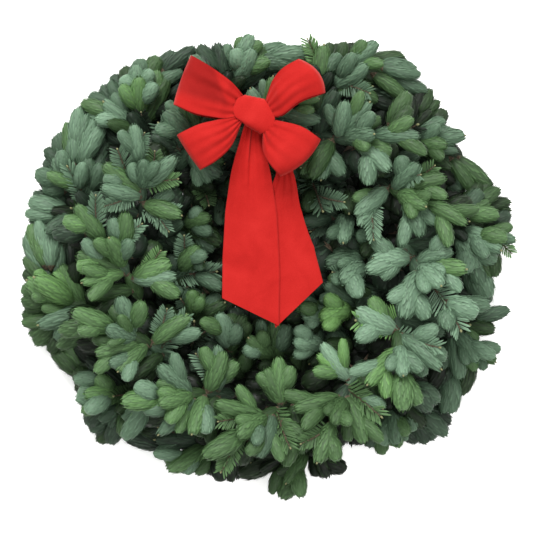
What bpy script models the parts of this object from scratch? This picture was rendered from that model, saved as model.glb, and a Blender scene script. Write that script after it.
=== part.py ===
"""Fresh noble-fir wreath with a red velvet bow, lying flat on its back.

Metres, +Z up out of the wreath's front, +Y towards the bow. The origin is the middle of the
wire ring on the surface that the wreath lies on. 36 cut sprigs are held in threes by 12 bent
clamps on one wire ring, and all of them lean clockwise. The bow is wired to the ring.
"""
import math
import random

import bmesh
import bpy
import numpy as np
from mathutils import Matrix, Vector

# Wire ring and clamps
SECTORS = 12
SECTOR_ANGLE = math.tau / SECTORS
RING_RADIUS = 0.152
RING_WIRE_RADIUS = 0.002
RING_HEIGHT = 0.0040
CLAMP_LENGTH = 0.014
CLAMP_STRIP = 0.0012
CLAMP_HALF_WIDTH = 0.0106
CLAMP_TOP = 0.0128
CLAMP_MOUTH = 0.0030

# Sprigs
STEM_RADIUS = 0.0024
STEM_TIP_SCALE = 0.55
STEM_STEPS = 4
STEM_HEIGHT = 0.0088
STEM_SPACING = 0.0058
MERGE_DISTANCE = 0.00005
FINGER_RADIUS = 0.0116
FINGER_SIDES = 4
FINGER_ROOT = 0.003
FINGER_WAIST = 0.45
FINGER_FULLNESS = 1 / math.cos(math.radians(30))
FINGER_END = 0.75
CLEARANCE = 0.0008
HOLE_RADIUS = 0.040
FOLIAGE_TOP = 0.142
OUTER_START = RING_RADIUS + STEM_SPACING
OUTER_END = 0.228
OUTER_MARGIN = 0.042
ATTEMPTS = 30
SEED = 11

# How much the fingers vary, and how each further attempt widens the search and shrinks them
GIRTH_RANGE = (0.86, 1.14)
LENGTH_RANGE = (0.88, 1.12)
PLACE_WANDER = 0.03
TURN_WANDER = 6
TURN_WANDER_STEP = 1.4
LIFT_WANDER = 0.6
GIRTH_LOSS = 0.011
LENGTH_LOSS = 0.016
TIP_OVERHANG = 0.3

# How far the foliage reaches from the middle, every 15 degrees counterclockwise from +X
OUTLINE = [0.290, 0.280, 0.280, 0.262, 0.295, 0.272, 0.268, 0.270, 0.278, 0.284, 0.280, 0.280,
           0.286, 0.284, 0.268, 0.284, 0.264, 0.260, 0.276, 0.258, 0.254, 0.264, 0.282, 0.284]

# Each run of sprigs: its stem's route from the clamp (degrees clockwise, radius, height), and its
# fingers (place along the stem, degrees to the left, degrees of lift, length).
RUNS = {
    "outer": {
        "route": [(-5, RING_RADIUS + STEM_SPACING, STEM_HEIGHT),
                  (4, RING_RADIUS + STEM_SPACING, STEM_HEIGHT), (9, 0.167, 0.014),
                  (14, 0.187, 0.022), (18, 0.208, 0.028), (21, OUTER_END, 0.033)],
        "fingers": [(0.46, 58, 3, 0.056), (0.54, -62, 3, 0.056), (0.72, 36, 2, 0.062),
                    (0.80, -42, 2, 0.062), (1.00, 0, 6, 0.056), (0.58, 14, 26, 0.060),
                    (0.84, -12, 22, 0.058)],
    },
    "inner": {
        "route": [(-5, RING_RADIUS - STEM_SPACING, STEM_HEIGHT),
                  (4, RING_RADIUS - STEM_SPACING, STEM_HEIGHT), (10, 0.138, 0.018), (19, 0.122, 0.030),
                  (29, 0.102, 0.040), (38, 0.082, 0.045)],
        "fingers": [(0.46, -44, 5, 0.052), (0.60, 34, 10, 0.048), (0.72, -44, 6, 0.052),
                    (1.00, -12, 4, 0.046), (0.50, -8, 32, 0.056), (0.76, 2, 30, 0.056),
                    (0.94, 8, 26, 0.048)],
    },
    "crown": {
        "route": [(-5, RING_RADIUS, STEM_HEIGHT), (4, RING_RADIUS, STEM_HEIGHT),
                  (11, RING_RADIUS, 0.030), (18, 0.153, 0.058), (25, 0.158, 0.080),
                  (32, 0.170, 0.092), (38, 0.186, 0.099)],
        "fingers": [(0.58, 66, 2, 0.060), (0.62, -84, 8, 0.056), (0.76, 40, 4, 0.062),
                    (0.84, -46, 8, 0.060), (1.00, -2, 10, 0.060), (0.68, -108, 22, 0.054),
                    (0.74, 62, 22, 0.056), (0.80, 0, 28, 0.060)],
    },
}

# Bow
BOW_CENTRE = Vector((-0.0165, 0.1666, 0.1400))
BOW_TILT = math.radians(-12)
RIBBON_WIDTH = 0.0635
RIBBON_THICKNESS = 0.0012
RIBBON_COLUMNS = (-0.5, -0.17, 0.17, 0.5)
WRAP_HALF_HEIGHT = 0.0190
WRAP_HALF_DEPTH = 0.0115
WRAP_LEFT_FOOT = 0.72
# The wrap's two side edges in the bow's own plane: share of its half height, x
WRAP_LEFT = [(-1.00, -0.0082), (-0.85, -0.0112), (-0.58, -0.0205), (0.00, -0.0245),
             (0.70, -0.0215), (1.00, -0.0145)]
WRAP_RIGHT = [(-1.00, 0.0110), (-0.75, 0.0195), (-0.45, 0.0235), (0.05, 0.0220),
              (0.60, 0.0140), (1.00, 0.0062)]
WRAP_STEPS = 20

# Each loop in the bow's own plane (x along the bow, y up): its outer edge and its inner edge from
# the neck to the fold, at the shares of its length in EDGE_SHARES, and how far the fold bulges.
EDGE_SHARES = (0.00, 0.08, 0.34, 0.67, 1.00)
EDGE_STEPS = 8
LOOPS = {
    "bow_loop_upper_left": (
        [(-0.0075, 0.0155), (-0.0145, 0.0160), (-0.0320, 0.0285), (-0.0580, 0.0400), (-0.0820, 0.0485)],
        [(-0.0075, 0.0010), (-0.0110, 0.0002), (-0.0340, -0.0105), (-0.0620, -0.0135),
         (-0.0895, -0.0080)],
        0.0015),
    "bow_loop_upper_right": (
        [(0.0045, 0.0150), (0.0078, 0.0158), (0.0108, 0.0385), (0.0190, 0.0545), (0.0345, 0.0690)],
        [(0.0075, 0.0010), (0.0110, 0.0008), (0.0280, 0.0045), (0.0460, 0.0245), (0.0700, 0.0390)],
        0.0080),
    "bow_loop_lower_left": (
        [(-0.0075, -0.0098), (-0.0124, -0.0102), (-0.0184, -0.0380), (-0.0310, -0.0575),
         (-0.0460, -0.0720)],
        [(-0.0075, -0.0010), (-0.0110, -0.0020), (-0.0330, -0.0132), (-0.0560, -0.0235),
         (-0.0790, -0.0400)],
        0.0010),
    "bow_loop_lower_right": (
        [(0.0075, -0.0155), (0.0122, -0.0162), (0.0170, -0.0370), (0.0275, -0.0500), (0.0415, -0.0605)],
        [(0.0075, -0.0010), (0.0110, -0.0012), (0.0300, -0.0020), (0.0530, -0.0035), (0.0760, -0.0120)],
        0.0060),
}
# A loop seen from its edge: how far out (share of its length) and height over its neck
LOOP_PROFILE = [(0.00, -0.0030), (0.08, -0.0030), (0.18, -0.0036), (0.44, -0.0085),
                (0.78, -0.0080), (0.97, -0.0010), (1.00, 0.0080), (0.93, 0.0170),
                (0.70, 0.0215), (0.44, 0.0168), (0.28, 0.0096), (0.17, 0.0050),
                (0.08, 0.0030), (0.00, 0.0030)]
BULGE_START = 0.7

# Each tail: its middle line (x, y, z) from the knot down, its widths along that line as shares of
# the ribbon's, and how far its bottom corners are cut past the line's end (right, left).
TAILS = {
    "bow_tail_front": {
        "line": [(-0.0190, 0.160, 0.1262), (-0.0200, 0.136, 0.1250), (-0.0205, 0.103, 0.1215),
                 (-0.0205, 0.060, 0.1180), (-0.0210, 0.010, 0.1165), (-0.0215, -0.036, 0.1180)],
        "widths": [0.25, 0.44, 0.72, 0.91, 1.0, 1.0],
        "cut": (0.030, 0.000),
    },
    "bow_tail_back": {
        "line": [(-0.0140, 0.158, 0.1238), (0.0060, 0.136, 0.1222), (0.0162, 0.103, 0.1180),
                 (0.0132, 0.060, 0.1145), (0.0172, 0.018, 0.1135), (0.0270, -0.022, 0.1150)],
        "widths": [0.20, 0.25, 0.30, 0.70, 1.0, 1.0],
        "cut": (0.004, 0.040),
    },
}

# The bow's tie wire runs through the centre wrap, down beside the stems and round the ring
TIE_WIRE_RADIUS = 0.0006
TIE_ROUTE = [(-0.0478, 0.1705, 0.1306), (-0.0190, 0.1680, 0.1306), (0.0112, 0.1655, 0.1306),
             (0.0125, 0.1640, 0.1270), (0.0020, 0.1560, 0.1020), (-0.0150, 0.1440, 0.0560),
             (-0.0218, 0.1405, 0.0100), (-0.0232, 0.1450, 0.0010), (-0.0250, 0.1590, 0.0010),
             (-0.0262, 0.1660, 0.0100), (-0.0290, 0.1700, 0.0560), (-0.0400, 0.1730, 0.1020),
             (-0.0496, 0.1715, 0.1270)]

# Foliage stays under the bow and its tails
BOW_REACH = 0.098
UNDER_BOW = 0.116
UNDER_TAILS = 0.103
TAIL_SIDE = 0.060
TAIL_END = -0.068


def polar(angle, radius, height):
    """The point at an angle, a radius and a height."""
    return Vector((radius * math.cos(angle), radius * math.sin(angle), height))


def smooth_line(points, steps):
    """A curve through the points, with a number of steps between each two."""
    ends = [points[0] * 2 - points[1]] + list(points) + [points[-1] * 2 - points[-2]]
    line = []
    for a, b, c, d in zip(ends, ends[1:], ends[2:], ends[3:]):
        for step in range(steps):
            t = step / steps
            line.append(0.5 * (2 * b + (c - a) * t + (2 * a - 5 * b + 4 * c - d) * t ** 2
                               + (3 * b - a - 3 * c + d) * t ** 3))
    return line + [Vector(points[-1])]


def outline_radius(angle):
    """How far the foliage may reach at an angle."""
    place = (angle % math.tau) / math.tau * len(OUTLINE)
    low = int(place)
    share = place - low
    return OUTLINE[low % len(OUTLINE)] * (1 - share) + OUTLINE[(low + 1) % len(OUTLINE)] * share


def foliage_ceiling(point):
    """How high foliage may stand at a point: less under the bow and its tails."""
    if math.hypot(point.x - BOW_CENTRE.x, point.y - BOW_CENTRE.y) < BOW_REACH:
        return UNDER_BOW
    if abs(point.x) < TAIL_SIDE and TAIL_END < point.y < BOW_CENTRE.y:
        return UNDER_TAILS
    return FOLIAGE_TOP


def in_bounds(tip, radius):
    """Whether a finger's tip stays off the floor, out of the hole and inside the outline."""
    reach = math.hypot(tip.x, tip.y)
    if tip.z < radius + 0.001 or tip.z + radius > foliage_ceiling(tip):
        return False
    if reach - radius < HOLE_RADIUS:
        return False
    return reach + TIP_OVERHANG * radius < outline_radius(math.atan2(tip.y, tip.x))


def girth_share(share):
    """A finger's thickness at a share of its length, as a share of its greatest."""
    return 1.0 if 0.2 < share < 0.8 else FINGER_END


def is_clear(base, tip, radius, owner, rods):
    """Whether a finger keeps its distance from the rods of every other sprig."""
    others = [rod for rod in rods if rod[3] != owner]
    starts = np.array([rod[0] for rod in others])
    spans = np.array([rod[1] for rod in others]) - starts
    sizes = np.array([rod[2] for rod in others])
    squares = (spans ** 2).sum(axis=1)
    for share in (0.15, 0.3, 0.45, 0.6, 0.75, 0.9, 1.0):
        point = np.array(base.lerp(tip, share))
        along = np.clip(((point - starts) * spans).sum(axis=1) / squares, 0, 1)
        gaps = np.linalg.norm(point - starts - spans * along[:, None], axis=1)
        if (gaps < sizes + radius * girth_share(share) + CLEARANCE).any():
            return False
    return True


def finger_direction(line, place, left, lift):
    """The base of a finger on its stem, and the direction that it grows in."""
    step = min(int(place * (len(line) - 1)), len(line) - 2)
    base = line[step].lerp(line[step + 1], place * (len(line) - 1) - step)
    ahead = (line[step + 1] - line[step]).normalized()
    side = Vector((0, 0, 1)).cross(ahead).normalized()
    up = ahead.cross(side)
    flat = ahead * math.cos(left) + side * math.sin(left)
    return base, (flat * math.cos(lift) + up * math.sin(lift)).normalized()


def stretched(point):
    """A point of an outer stem, moved out so that the stem's end follows the outline."""
    reach = math.hypot(point.x, point.y)
    share = max(0, reach - OUTER_START) / (OUTER_END - OUTER_START)
    end = outline_radius(math.atan2(point.y, point.x)) - OUTER_MARGIN
    wanted = max(reach, OUTER_START + share * (end - OUTER_START))
    return Vector((point.x * wanted / reach, point.y * wanted / reach, point.z))


def grow_sprigs():
    """Every sprig's stem line and its fingers (base, tip, radius), none of them touching."""
    chance = random.Random(SEED)
    tie = [Vector(point) for point in TIE_ROUTE]
    rods = [(a, b, TIE_WIRE_RADIUS, "tie") for a, b in zip(tie, tie[1:] + tie[:1])]
    sprigs = {}
    for run, plan in RUNS.items():
        for number in range(SECTORS):
            clamp_angle = number * SECTOR_ANGLE
            route = [polar(clamp_angle - math.radians(turn), radius, height)
                     for turn, radius, height in plan["route"]]
            if run == "outer":
                route = [stretched(point) for point in route]
            line = smooth_line(route, STEM_STEPS)
            name = f"{run}_sprig_{number + 1:02d}"
            sprigs[name] = {"line": line, "run": run, "fingers": []}
            rods += [(a, b, STEM_RADIUS, name) for a, b in zip(line, line[1:])]
    for name, sprig in sprigs.items():
        for place, left, lift, length in RUNS[sprig["run"]]["fingers"]:
            widest = FINGER_RADIUS * chance.uniform(*GIRTH_RANGE)
            for attempt in range(ATTEMPTS):
                wander = TURN_WANDER + TURN_WANDER_STEP * attempt
                radius = widest * (1 - attempt * GIRTH_LOSS)
                base, ahead = finger_direction(
                    sprig["line"], min(1, place + chance.uniform(-PLACE_WANDER, PLACE_WANDER)),
                    math.radians(left + chance.uniform(-wander, wander)),
                    math.radians(lift + chance.uniform(-wander, wander) * LIFT_WANDER))
                base = base - ahead * FINGER_ROOT
                reach = length * chance.uniform(*LENGTH_RANGE) * (1 - attempt * LENGTH_LOSS)
                tip = base + ahead * reach
                if in_bounds(tip, radius) and is_clear(base, tip, radius, name, rods):
                    sprig["fingers"].append((base, tip, radius))
                    rods.append((base, tip, radius, name))
                    break
    return sprigs


def material(name, colour, roughness, metallic=0.0):
    """A plain material for one kind of piece."""
    made = bpy.data.materials.new(name)
    made.use_nodes = True
    shader = made.node_tree.nodes["Principled BSDF"]
    shader.inputs["Base Color"].default_value = (*colour, 1)
    shader.inputs["Roughness"].default_value = roughness
    shader.inputs["Metallic"].default_value = metallic
    return made


def add_object(name, data, collection, surface):
    """An object in a collection, with its material."""
    made = bpy.data.objects.new(name, data)
    collection.objects.link(made)
    data.materials.append(surface)
    return made


def as_mesh(tube, collection):
    """The closed mesh of a tube curve, which replaces the curve."""
    bpy.context.view_layer.update()
    evaluated = tube.evaluated_get(bpy.context.evaluated_depsgraph_get())
    mesh = bpy.data.meshes.new_from_object(evaluated)
    shape = bmesh.new()
    shape.from_mesh(mesh)
    bmesh.ops.remove_doubles(shape, verts=shape.verts, dist=MERGE_DISTANCE)
    shape.to_mesh(mesh)
    shape.free()
    name = tube.name
    bpy.data.objects.remove(tube)
    made = bpy.data.objects.new(name, mesh)
    collection.objects.link(made)
    return made


def tube_curve(name, points, radii, collection, surface, closed=False, resolution=0):
    """A round wire or stem through the points."""
    curve = bpy.data.curves.new(name, "CURVE")
    curve.dimensions = "3D"
    curve.bevel_depth = radii[0]
    curve.bevel_resolution = resolution
    curve.use_fill_caps = not closed
    spline = curve.splines.new("POLY")
    spline.points.add(len(points) - 1)
    for point, place, radius in zip(spline.points, points, radii):
        point.co = (*place, 1)
        point.radius = radius / radii[0]
    spline.use_cyclic_u = closed
    return add_object(name, curve, collection, surface)


def build_ring(parts, surface):
    """The round wire ring at the wreath's back."""
    bpy.ops.mesh.primitive_torus_add(
        major_segments=36, minor_segments=6, major_radius=RING_RADIUS,
        minor_radius=RING_WIRE_RADIUS, location=(0, 0, RING_HEIGHT))
    ring = bpy.context.object
    ring.name = "wire_ring"
    for held_by in ring.users_collection:
        held_by.objects.unlink(ring)
    parts.objects.link(ring)
    ring.data.materials.append(surface)
    ring.data.shade_smooth()


def build_clamps(parts, surface):
    """Bent strips with flat feet that close over the ring wire and three stems."""
    half = CLAMP_STRIP / 2
    profile = [(-CLAMP_MOUTH, CLAMP_TOP), (-CLAMP_HALF_WIDTH + half, CLAMP_TOP),
               (-CLAMP_HALF_WIDTH + half, half), (CLAMP_HALF_WIDTH - half, half),
               (CLAMP_HALF_WIDTH - half, CLAMP_TOP), (CLAMP_MOUTH, CLAMP_TOP)]
    mesh = bpy.data.meshes.new("clamp")
    shape = bmesh.new()
    start = [shape.verts.new((x, -CLAMP_LENGTH / 2, z)) for x, z in profile]
    edges = [shape.edges.new(pair) for pair in zip(start, start[1:])]
    moved = bmesh.ops.extrude_edge_only(shape, edges=edges)["geom"]
    far = [part for part in moved if isinstance(part, bmesh.types.BMVert)]
    bmesh.ops.translate(shape, verts=far, vec=(0, CLAMP_LENGTH, 0))
    bmesh.ops.recalc_face_normals(shape, faces=shape.faces)
    shape.to_mesh(mesh)
    shape.free()
    mesh.materials.append(surface)
    for number in range(SECTORS):
        angle = number * SECTOR_ANGLE
        clamp = bpy.data.objects.new(f"clamp_{number + 1:02d}", mesh)
        parts.objects.link(clamp)
        clamp.location = polar(angle, RING_RADIUS, 0)
        clamp.rotation_euler.z = angle
        strip = clamp.modifiers.new("strip", "SOLIDIFY")
        strip.thickness = CLAMP_STRIP
        strip.offset = 0
        strip.use_even_offset = True


def finger_mesh(fingers):
    """One mesh of the spindle-shaped branchlets of a sprig."""
    shape = bmesh.new()
    for base, tip, radius in fingers:
        ahead = tip - base
        made = bmesh.ops.create_uvsphere(
            shape, u_segments=FINGER_SIDES, v_segments=3, radius=1)["verts"]
        girth = radius * FINGER_FULLNESS
        bmesh.ops.scale(shape, verts=made, vec=(girth, girth, ahead.length / 2))
        root = [vert for vert in made if vert.co.z < 0]
        bmesh.ops.scale(shape, verts=root, vec=(FINGER_WAIST, FINGER_WAIST, 1))
        turn = ahead.to_track_quat("Z", "Y").to_matrix().to_4x4()
        place = Matrix.Translation((base + tip) / 2)
        bmesh.ops.transform(shape, verts=made, matrix=place @ turn)
    mesh = bpy.data.meshes.new("fingers")
    shape.to_mesh(mesh)
    shape.free()
    return mesh


def build_sprigs(parts, helpers, surfaces):
    """Each sprig is one solid: its stem joined with all of its branchlets."""
    for name, sprig in grow_sprigs().items():
        points = sprig["line"][::STEM_STEPS]
        radii = [STEM_RADIUS * (1 - (1 - STEM_TIP_SCALE) * step / (len(points) - 1))
                 for step in range(len(points))]
        stem = as_mesh(tube_curve(name, points, radii, parts, surfaces[sprig["run"]]), parts)
        fingers = bpy.data.objects.new(f"{name}_fingers", finger_mesh(sprig["fingers"]))
        helpers.objects.link(fingers)
        fingers.hide_render = True
        fingers.display_type = "WIRE"
        join = stem.modifiers.new("fingers", "BOOLEAN")
        join.operation = "UNION"
        join.solver = "EXACT"
        join.use_self = True
        join.object = fingers


def ribbon(name, rows, parts, surface):
    """A strip of ribbon from rows of points across it, thickened on both sides."""
    shape = bmesh.new()
    grid = [[shape.verts.new(point) for point in row] for row in rows]
    for row, following in zip(grid, grid[1:]):
        for column in range(len(row) - 1):
            shape.faces.new((row[column], row[column + 1],
                             following[column + 1], following[column]))
    mesh = bpy.data.meshes.new(name)
    shape.to_mesh(mesh)
    shape.free()
    made = add_object(name, mesh, parts, surface)
    cloth = made.modifiers.new("cloth", "SOLIDIFY")
    cloth.thickness = RIBBON_THICKNESS
    cloth.offset = 0
    cloth.use_even_offset = True
    mesh.shade_smooth()


def edge_point(edge, share):
    """The point of a loop's edge at a share of its length, in the bow's own plane."""
    line = smooth_line([Vector((x, y, 0)) for x, y in edge], EDGE_STEPS)
    place = float(np.interp(share, EDGE_SHARES, range(len(EDGE_SHARES)))) * EDGE_STEPS
    step = min(int(place), len(line) - 2)
    return line[step].lerp(line[step + 1], place - step)


def build_loops(parts, surface):
    """Four ribbon loops: narrow at the neck, open at the outer fold."""
    level = Matrix.Rotation(BOW_TILT, 3, "Z")
    for name, (outer, inner, bulge) in LOOPS.items():
        neck = edge_point(outer, 0).lerp(edge_point(inner, 0), 0.5)
        fold = edge_point(outer, 1).lerp(edge_point(inner, 1), 0.5)
        outward = (fold - neck).normalized()
        rows = []
        for share, height in LOOP_PROFILE:
            start, end = edge_point(outer, share), edge_point(inner, share)
            swell = bulge * max(0, share - BULGE_START) / (1 - BULGE_START)
            row = []
            for place in RIBBON_COLUMNS:
                spot = start.lerp(end, place + 0.5) + outward * swell * (1 - 4 * place ** 2)
                row.append(BOW_CENTRE + level @ (spot + Vector((0, 0, height))))
            rows.append(row)
        ribbon(name, rows, parts, surface)


def build_wrap(parts, surface):
    """The short band of ribbon round the middle of the bow, drawn in at its two sides."""
    rows = []
    for edge in (WRAP_LEFT, WRAP_RIGHT):
        row = []
        for step in range(WRAP_STEPS):
            angle = math.tau * step / WRAP_STEPS
            y, z = math.cos(angle), math.sin(angle)
            stretch = (y ** 4 + z ** 4) ** -0.25
            y, z = y * stretch, z * stretch
            foot = WRAP_LEFT_FOOT if edge is WRAP_LEFT and y < 0 else 1
            row.append(Vector((float(np.interp(y, *zip(*edge))),
                               y * foot * (WRAP_HALF_HEIGHT - RIBBON_THICKNESS / 2),
                               z * (WRAP_HALF_DEPTH - RIBBON_THICKNESS / 2))))
        rows.append(row)
    shape = bmesh.new()
    left, right = [[shape.verts.new(point) for point in row] for row in rows]
    for step in range(WRAP_STEPS):
        following = (step + 1) % WRAP_STEPS
        shape.faces.new((left[step], right[step], right[following], left[following]))
    bmesh.ops.recalc_face_normals(shape, faces=shape.faces)
    mesh = bpy.data.meshes.new("bow_centre_wrap")
    shape.to_mesh(mesh)
    shape.free()
    wrap = add_object("bow_centre_wrap", mesh, parts, surface)
    wrap.location = BOW_CENTRE
    wrap.rotation_euler.z = BOW_TILT
    cloth = wrap.modifiers.new("cloth", "SOLIDIFY")
    cloth.thickness = RIBBON_THICKNESS
    cloth.offset = 0
    mesh.shade_smooth()


def build_tails(parts, surface):
    """Two ribbon tails that hang from behind the wrap and end in slanted cuts."""
    for name, plan in TAILS.items():
        line = [Vector(point) for point in plan["line"]]
        rows = []
        for number, (middle, width) in enumerate(zip(line, plan["widths"])):
            ahead = (line[min(number + 1, len(line) - 1)] - line[max(number - 1, 0)]).normalized()
            across = ahead.cross(Vector((0, 0, 1))).normalized()
            last = number == len(line) - 1
            row = []
            for place in RIBBON_COLUMNS:
                cut = plan["cut"][0] * (0.5 + place) + plan["cut"][1] * (0.5 - place)
                beside = across * -place * width * RIBBON_WIDTH
                row.append(middle + beside + (ahead * cut if last else Vector()))
            rows.append(row)
        ribbon(name, rows, parts, surface)


def main():
    for old in list(bpy.data.objects):
        bpy.data.objects.remove(old)
    parts = bpy.data.collections.new("fresh_evergreen_wreath")
    helpers = bpy.data.collections.new("helpers")
    for group in (parts, helpers):
        bpy.context.scene.collection.children.link(group)
    steel = material("painted_steel_wire", (0.045, 0.075, 0.050), 0.5, 0.6)
    velvet = material("red_velvet", (0.70, 0.027, 0.025), 0.9)
    greens = {
        "outer": material("fir_needles_blue_green", (0.17, 0.26, 0.19), 0.6),
        "inner": material("fir_needles_deep_green", (0.07, 0.13, 0.07), 0.6),
        "crown": material("fir_needles_green", (0.13, 0.22, 0.12), 0.6),
    }
    build_ring(parts, steel)
    build_clamps(parts, steel)
    build_sprigs(parts, helpers, greens)
    build_loops(parts, velvet)
    build_wrap(parts, velvet)
    build_tails(parts, velvet)
    tie = [Vector(point) for point in TIE_ROUTE]
    tube_curve("bow_tie_wire", tie, [TIE_WIRE_RADIUS] * len(tie), parts, steel, closed=True)


main()
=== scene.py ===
"""Fresh noble-fir wreath with a red velvet bow, lying on its back on a pale floor.

Metres, +Z up out of the wreath's front, +Y towards the bow. Each of the 36 sprigs is one piece:
a bark-covered stem with plump branchlets of overlapping needles. The bow is seven pieces of
velvet ribbon. The wire ring, the clamps and the tie wire keep their own shapes.
"""
import math
import random

import bpy
import numpy as np
from mathutils import Matrix, Vector


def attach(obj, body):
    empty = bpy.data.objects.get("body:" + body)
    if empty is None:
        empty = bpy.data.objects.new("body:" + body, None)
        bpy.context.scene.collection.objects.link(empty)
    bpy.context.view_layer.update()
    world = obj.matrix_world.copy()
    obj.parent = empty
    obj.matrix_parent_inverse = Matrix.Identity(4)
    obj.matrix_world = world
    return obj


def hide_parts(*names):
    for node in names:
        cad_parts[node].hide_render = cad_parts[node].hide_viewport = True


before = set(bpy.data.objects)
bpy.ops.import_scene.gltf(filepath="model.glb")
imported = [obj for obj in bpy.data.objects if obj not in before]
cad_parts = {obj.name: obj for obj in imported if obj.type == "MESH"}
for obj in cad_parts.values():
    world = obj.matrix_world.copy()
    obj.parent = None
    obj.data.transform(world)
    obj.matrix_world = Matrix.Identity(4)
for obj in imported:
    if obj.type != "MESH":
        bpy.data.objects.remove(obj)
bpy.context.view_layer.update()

# ---------------------------------------------------------------- the wreath's plan

SECTORS = 12
SECTOR_ANGLE = math.tau / SECTORS
RING_RADIUS = 0.152
STEM_RADIUS = 0.0024
STEM_TIP_SCALE = 0.55
STEM_STEPS = 4
STEM_HEIGHT = 0.0088
STEM_SPACING = 0.0058
FINGER_RADIUS = 0.0116
FINGER_ROOT = 0.003
FINGER_END = 0.75
CLEARANCE = 0.0008
HOLE_RADIUS = 0.040
FOLIAGE_TOP = 0.142
OUTER_START = RING_RADIUS + STEM_SPACING
OUTER_END = 0.228
OUTER_MARGIN = 0.042
ATTEMPTS = 30
SEED = 11

# How much the branchlets vary, and how each further attempt widens the search and shrinks them
GIRTH_RANGE = (0.86, 1.14)
LENGTH_RANGE = (0.88, 1.12)
PLACE_WANDER = 0.03
TURN_WANDER = 6
TURN_WANDER_STEP = 1.4
LIFT_WANDER = 0.6
GIRTH_LOSS = 0.011
LENGTH_LOSS = 0.016
TIP_OVERHANG = 0.3
FLOOR_GAP = 0.001
FULL_GIRTH = (0.2, 0.8)
CLEAR_SHARES = (0.15, 0.3, 0.45, 0.6, 0.75, 0.9, 1.0)

# How far the foliage reaches from the middle, every 15 degrees counterclockwise from +X
OUTLINE = [0.290, 0.280, 0.280, 0.262, 0.295, 0.272, 0.268, 0.270, 0.278, 0.284, 0.280, 0.280,
           0.286, 0.284, 0.268, 0.284, 0.264, 0.260, 0.276, 0.258, 0.254, 0.264, 0.282, 0.284]

# Each run of sprigs: its stem's route from the clamp (degrees clockwise, radius, height), and its
# branchlets (place along the stem, degrees to the left, degrees of lift, length).
RUNS = {
    "outer": {
        "route": [(-5, RING_RADIUS + STEM_SPACING, STEM_HEIGHT),
                  (4, RING_RADIUS + STEM_SPACING, STEM_HEIGHT), (9, 0.167, 0.014),
                  (14, 0.187, 0.022), (18, 0.208, 0.028), (21, OUTER_END, 0.033)],
        "fingers": [(0.46, 58, 3, 0.056), (0.54, -62, 3, 0.056), (0.72, 36, 2, 0.062),
                    (0.80, -42, 2, 0.062), (1.00, 0, 6, 0.056), (0.58, 14, 26, 0.060),
                    (0.84, -12, 22, 0.058)],
    },
    "inner": {
        "route": [(-5, RING_RADIUS - STEM_SPACING, STEM_HEIGHT),
                  (4, RING_RADIUS - STEM_SPACING, STEM_HEIGHT), (10, 0.138, 0.018),
                  (19, 0.122, 0.030), (29, 0.102, 0.040), (38, 0.082, 0.045)],
        "fingers": [(0.46, -44, 5, 0.052), (0.60, 34, 10, 0.048), (0.72, -44, 6, 0.052),
                    (1.00, -12, 4, 0.046), (0.50, -8, 32, 0.056), (0.76, 2, 30, 0.056),
                    (0.94, 8, 26, 0.048)],
    },
    "crown": {
        "route": [(-5, RING_RADIUS, STEM_HEIGHT), (4, RING_RADIUS, STEM_HEIGHT),
                  (11, RING_RADIUS, 0.030), (18, 0.153, 0.058), (25, 0.158, 0.080),
                  (32, 0.170, 0.092), (38, 0.186, 0.099)],
        "fingers": [(0.58, 66, 2, 0.060), (0.62, -84, 8, 0.056), (0.76, 40, 4, 0.062),
                    (0.84, -46, 8, 0.060), (1.00, -2, 10, 0.060), (0.68, -108, 22, 0.054),
                    (0.74, 62, 22, 0.056), (0.80, 0, 28, 0.060)],
    },
}

# Bow
BOW_CENTRE = Vector((-0.0165, 0.1666, 0.1400))
BOW_TILT = math.radians(-12)
RIBBON_WIDTH = 0.0635
RIBBON_THICKNESS = 0.0010
WRAP_HALF_HEIGHT = 0.0190
WRAP_HALF_DEPTH = 0.0115
WRAP_LEFT_FOOT = 0.72
# The wrap's two side edges in the bow's own plane: share of its half height, x
WRAP_LEFT = [(-1.00, -0.0082), (-0.85, -0.0112), (-0.58, -0.0205), (0.00, -0.0258),
             (0.70, -0.0228), (1.00, -0.0150)]
WRAP_RIGHT = [(-1.00, 0.0110), (-0.75, 0.0195), (-0.45, 0.0235), (0.05, 0.0220),
              (0.60, 0.0140), (1.00, 0.0062)]

# Each loop in the bow's own plane (x along the bow, y up): its outer edge and its inner edge from
# the neck to the fold, at the shares of its length in EDGE_SHARES, and how far the fold bulges.
EDGE_SHARES = (0.00, 0.08, 0.34, 0.67, 1.00)
EDGE_STEPS = 8
LOOPS = {
    "upper_left": (
        [(-0.0075, 0.0155), (-0.0145, 0.0160), (-0.0320, 0.0285), (-0.0580, 0.0400),
         (-0.0820, 0.0485)],
        [(-0.0075, 0.0010), (-0.0110, 0.0002), (-0.0340, -0.0105), (-0.0620, -0.0135),
         (-0.0895, -0.0080)],
        0.0015),
    "upper_right": (
        [(0.0045, 0.0150), (0.0078, 0.0158), (0.0108, 0.0385), (0.0190, 0.0545), (0.0345, 0.0690)],
        [(0.0075, 0.0010), (0.0110, 0.0008), (0.0280, 0.0045), (0.0460, 0.0245), (0.0700, 0.0390)],
        0.0080),
    "lower_left": (
        [(-0.0075, -0.0098), (-0.0124, -0.0102), (-0.0184, -0.0380), (-0.0310, -0.0575),
         (-0.0460, -0.0720)],
        [(-0.0075, -0.0010), (-0.0110, -0.0020), (-0.0330, -0.0132), (-0.0560, -0.0235),
         (-0.0790, -0.0400)],
        0.0010),
    "lower_right": (
        [(0.0075, -0.0155), (0.0122, -0.0162), (0.0170, -0.0370), (0.0275, -0.0500),
         (0.0415, -0.0605)],
        [(0.0075, -0.0010), (0.0110, -0.0012), (0.0300, -0.0020), (0.0530, -0.0035),
         (0.0760, -0.0120)],
        0.0060),
}
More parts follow.
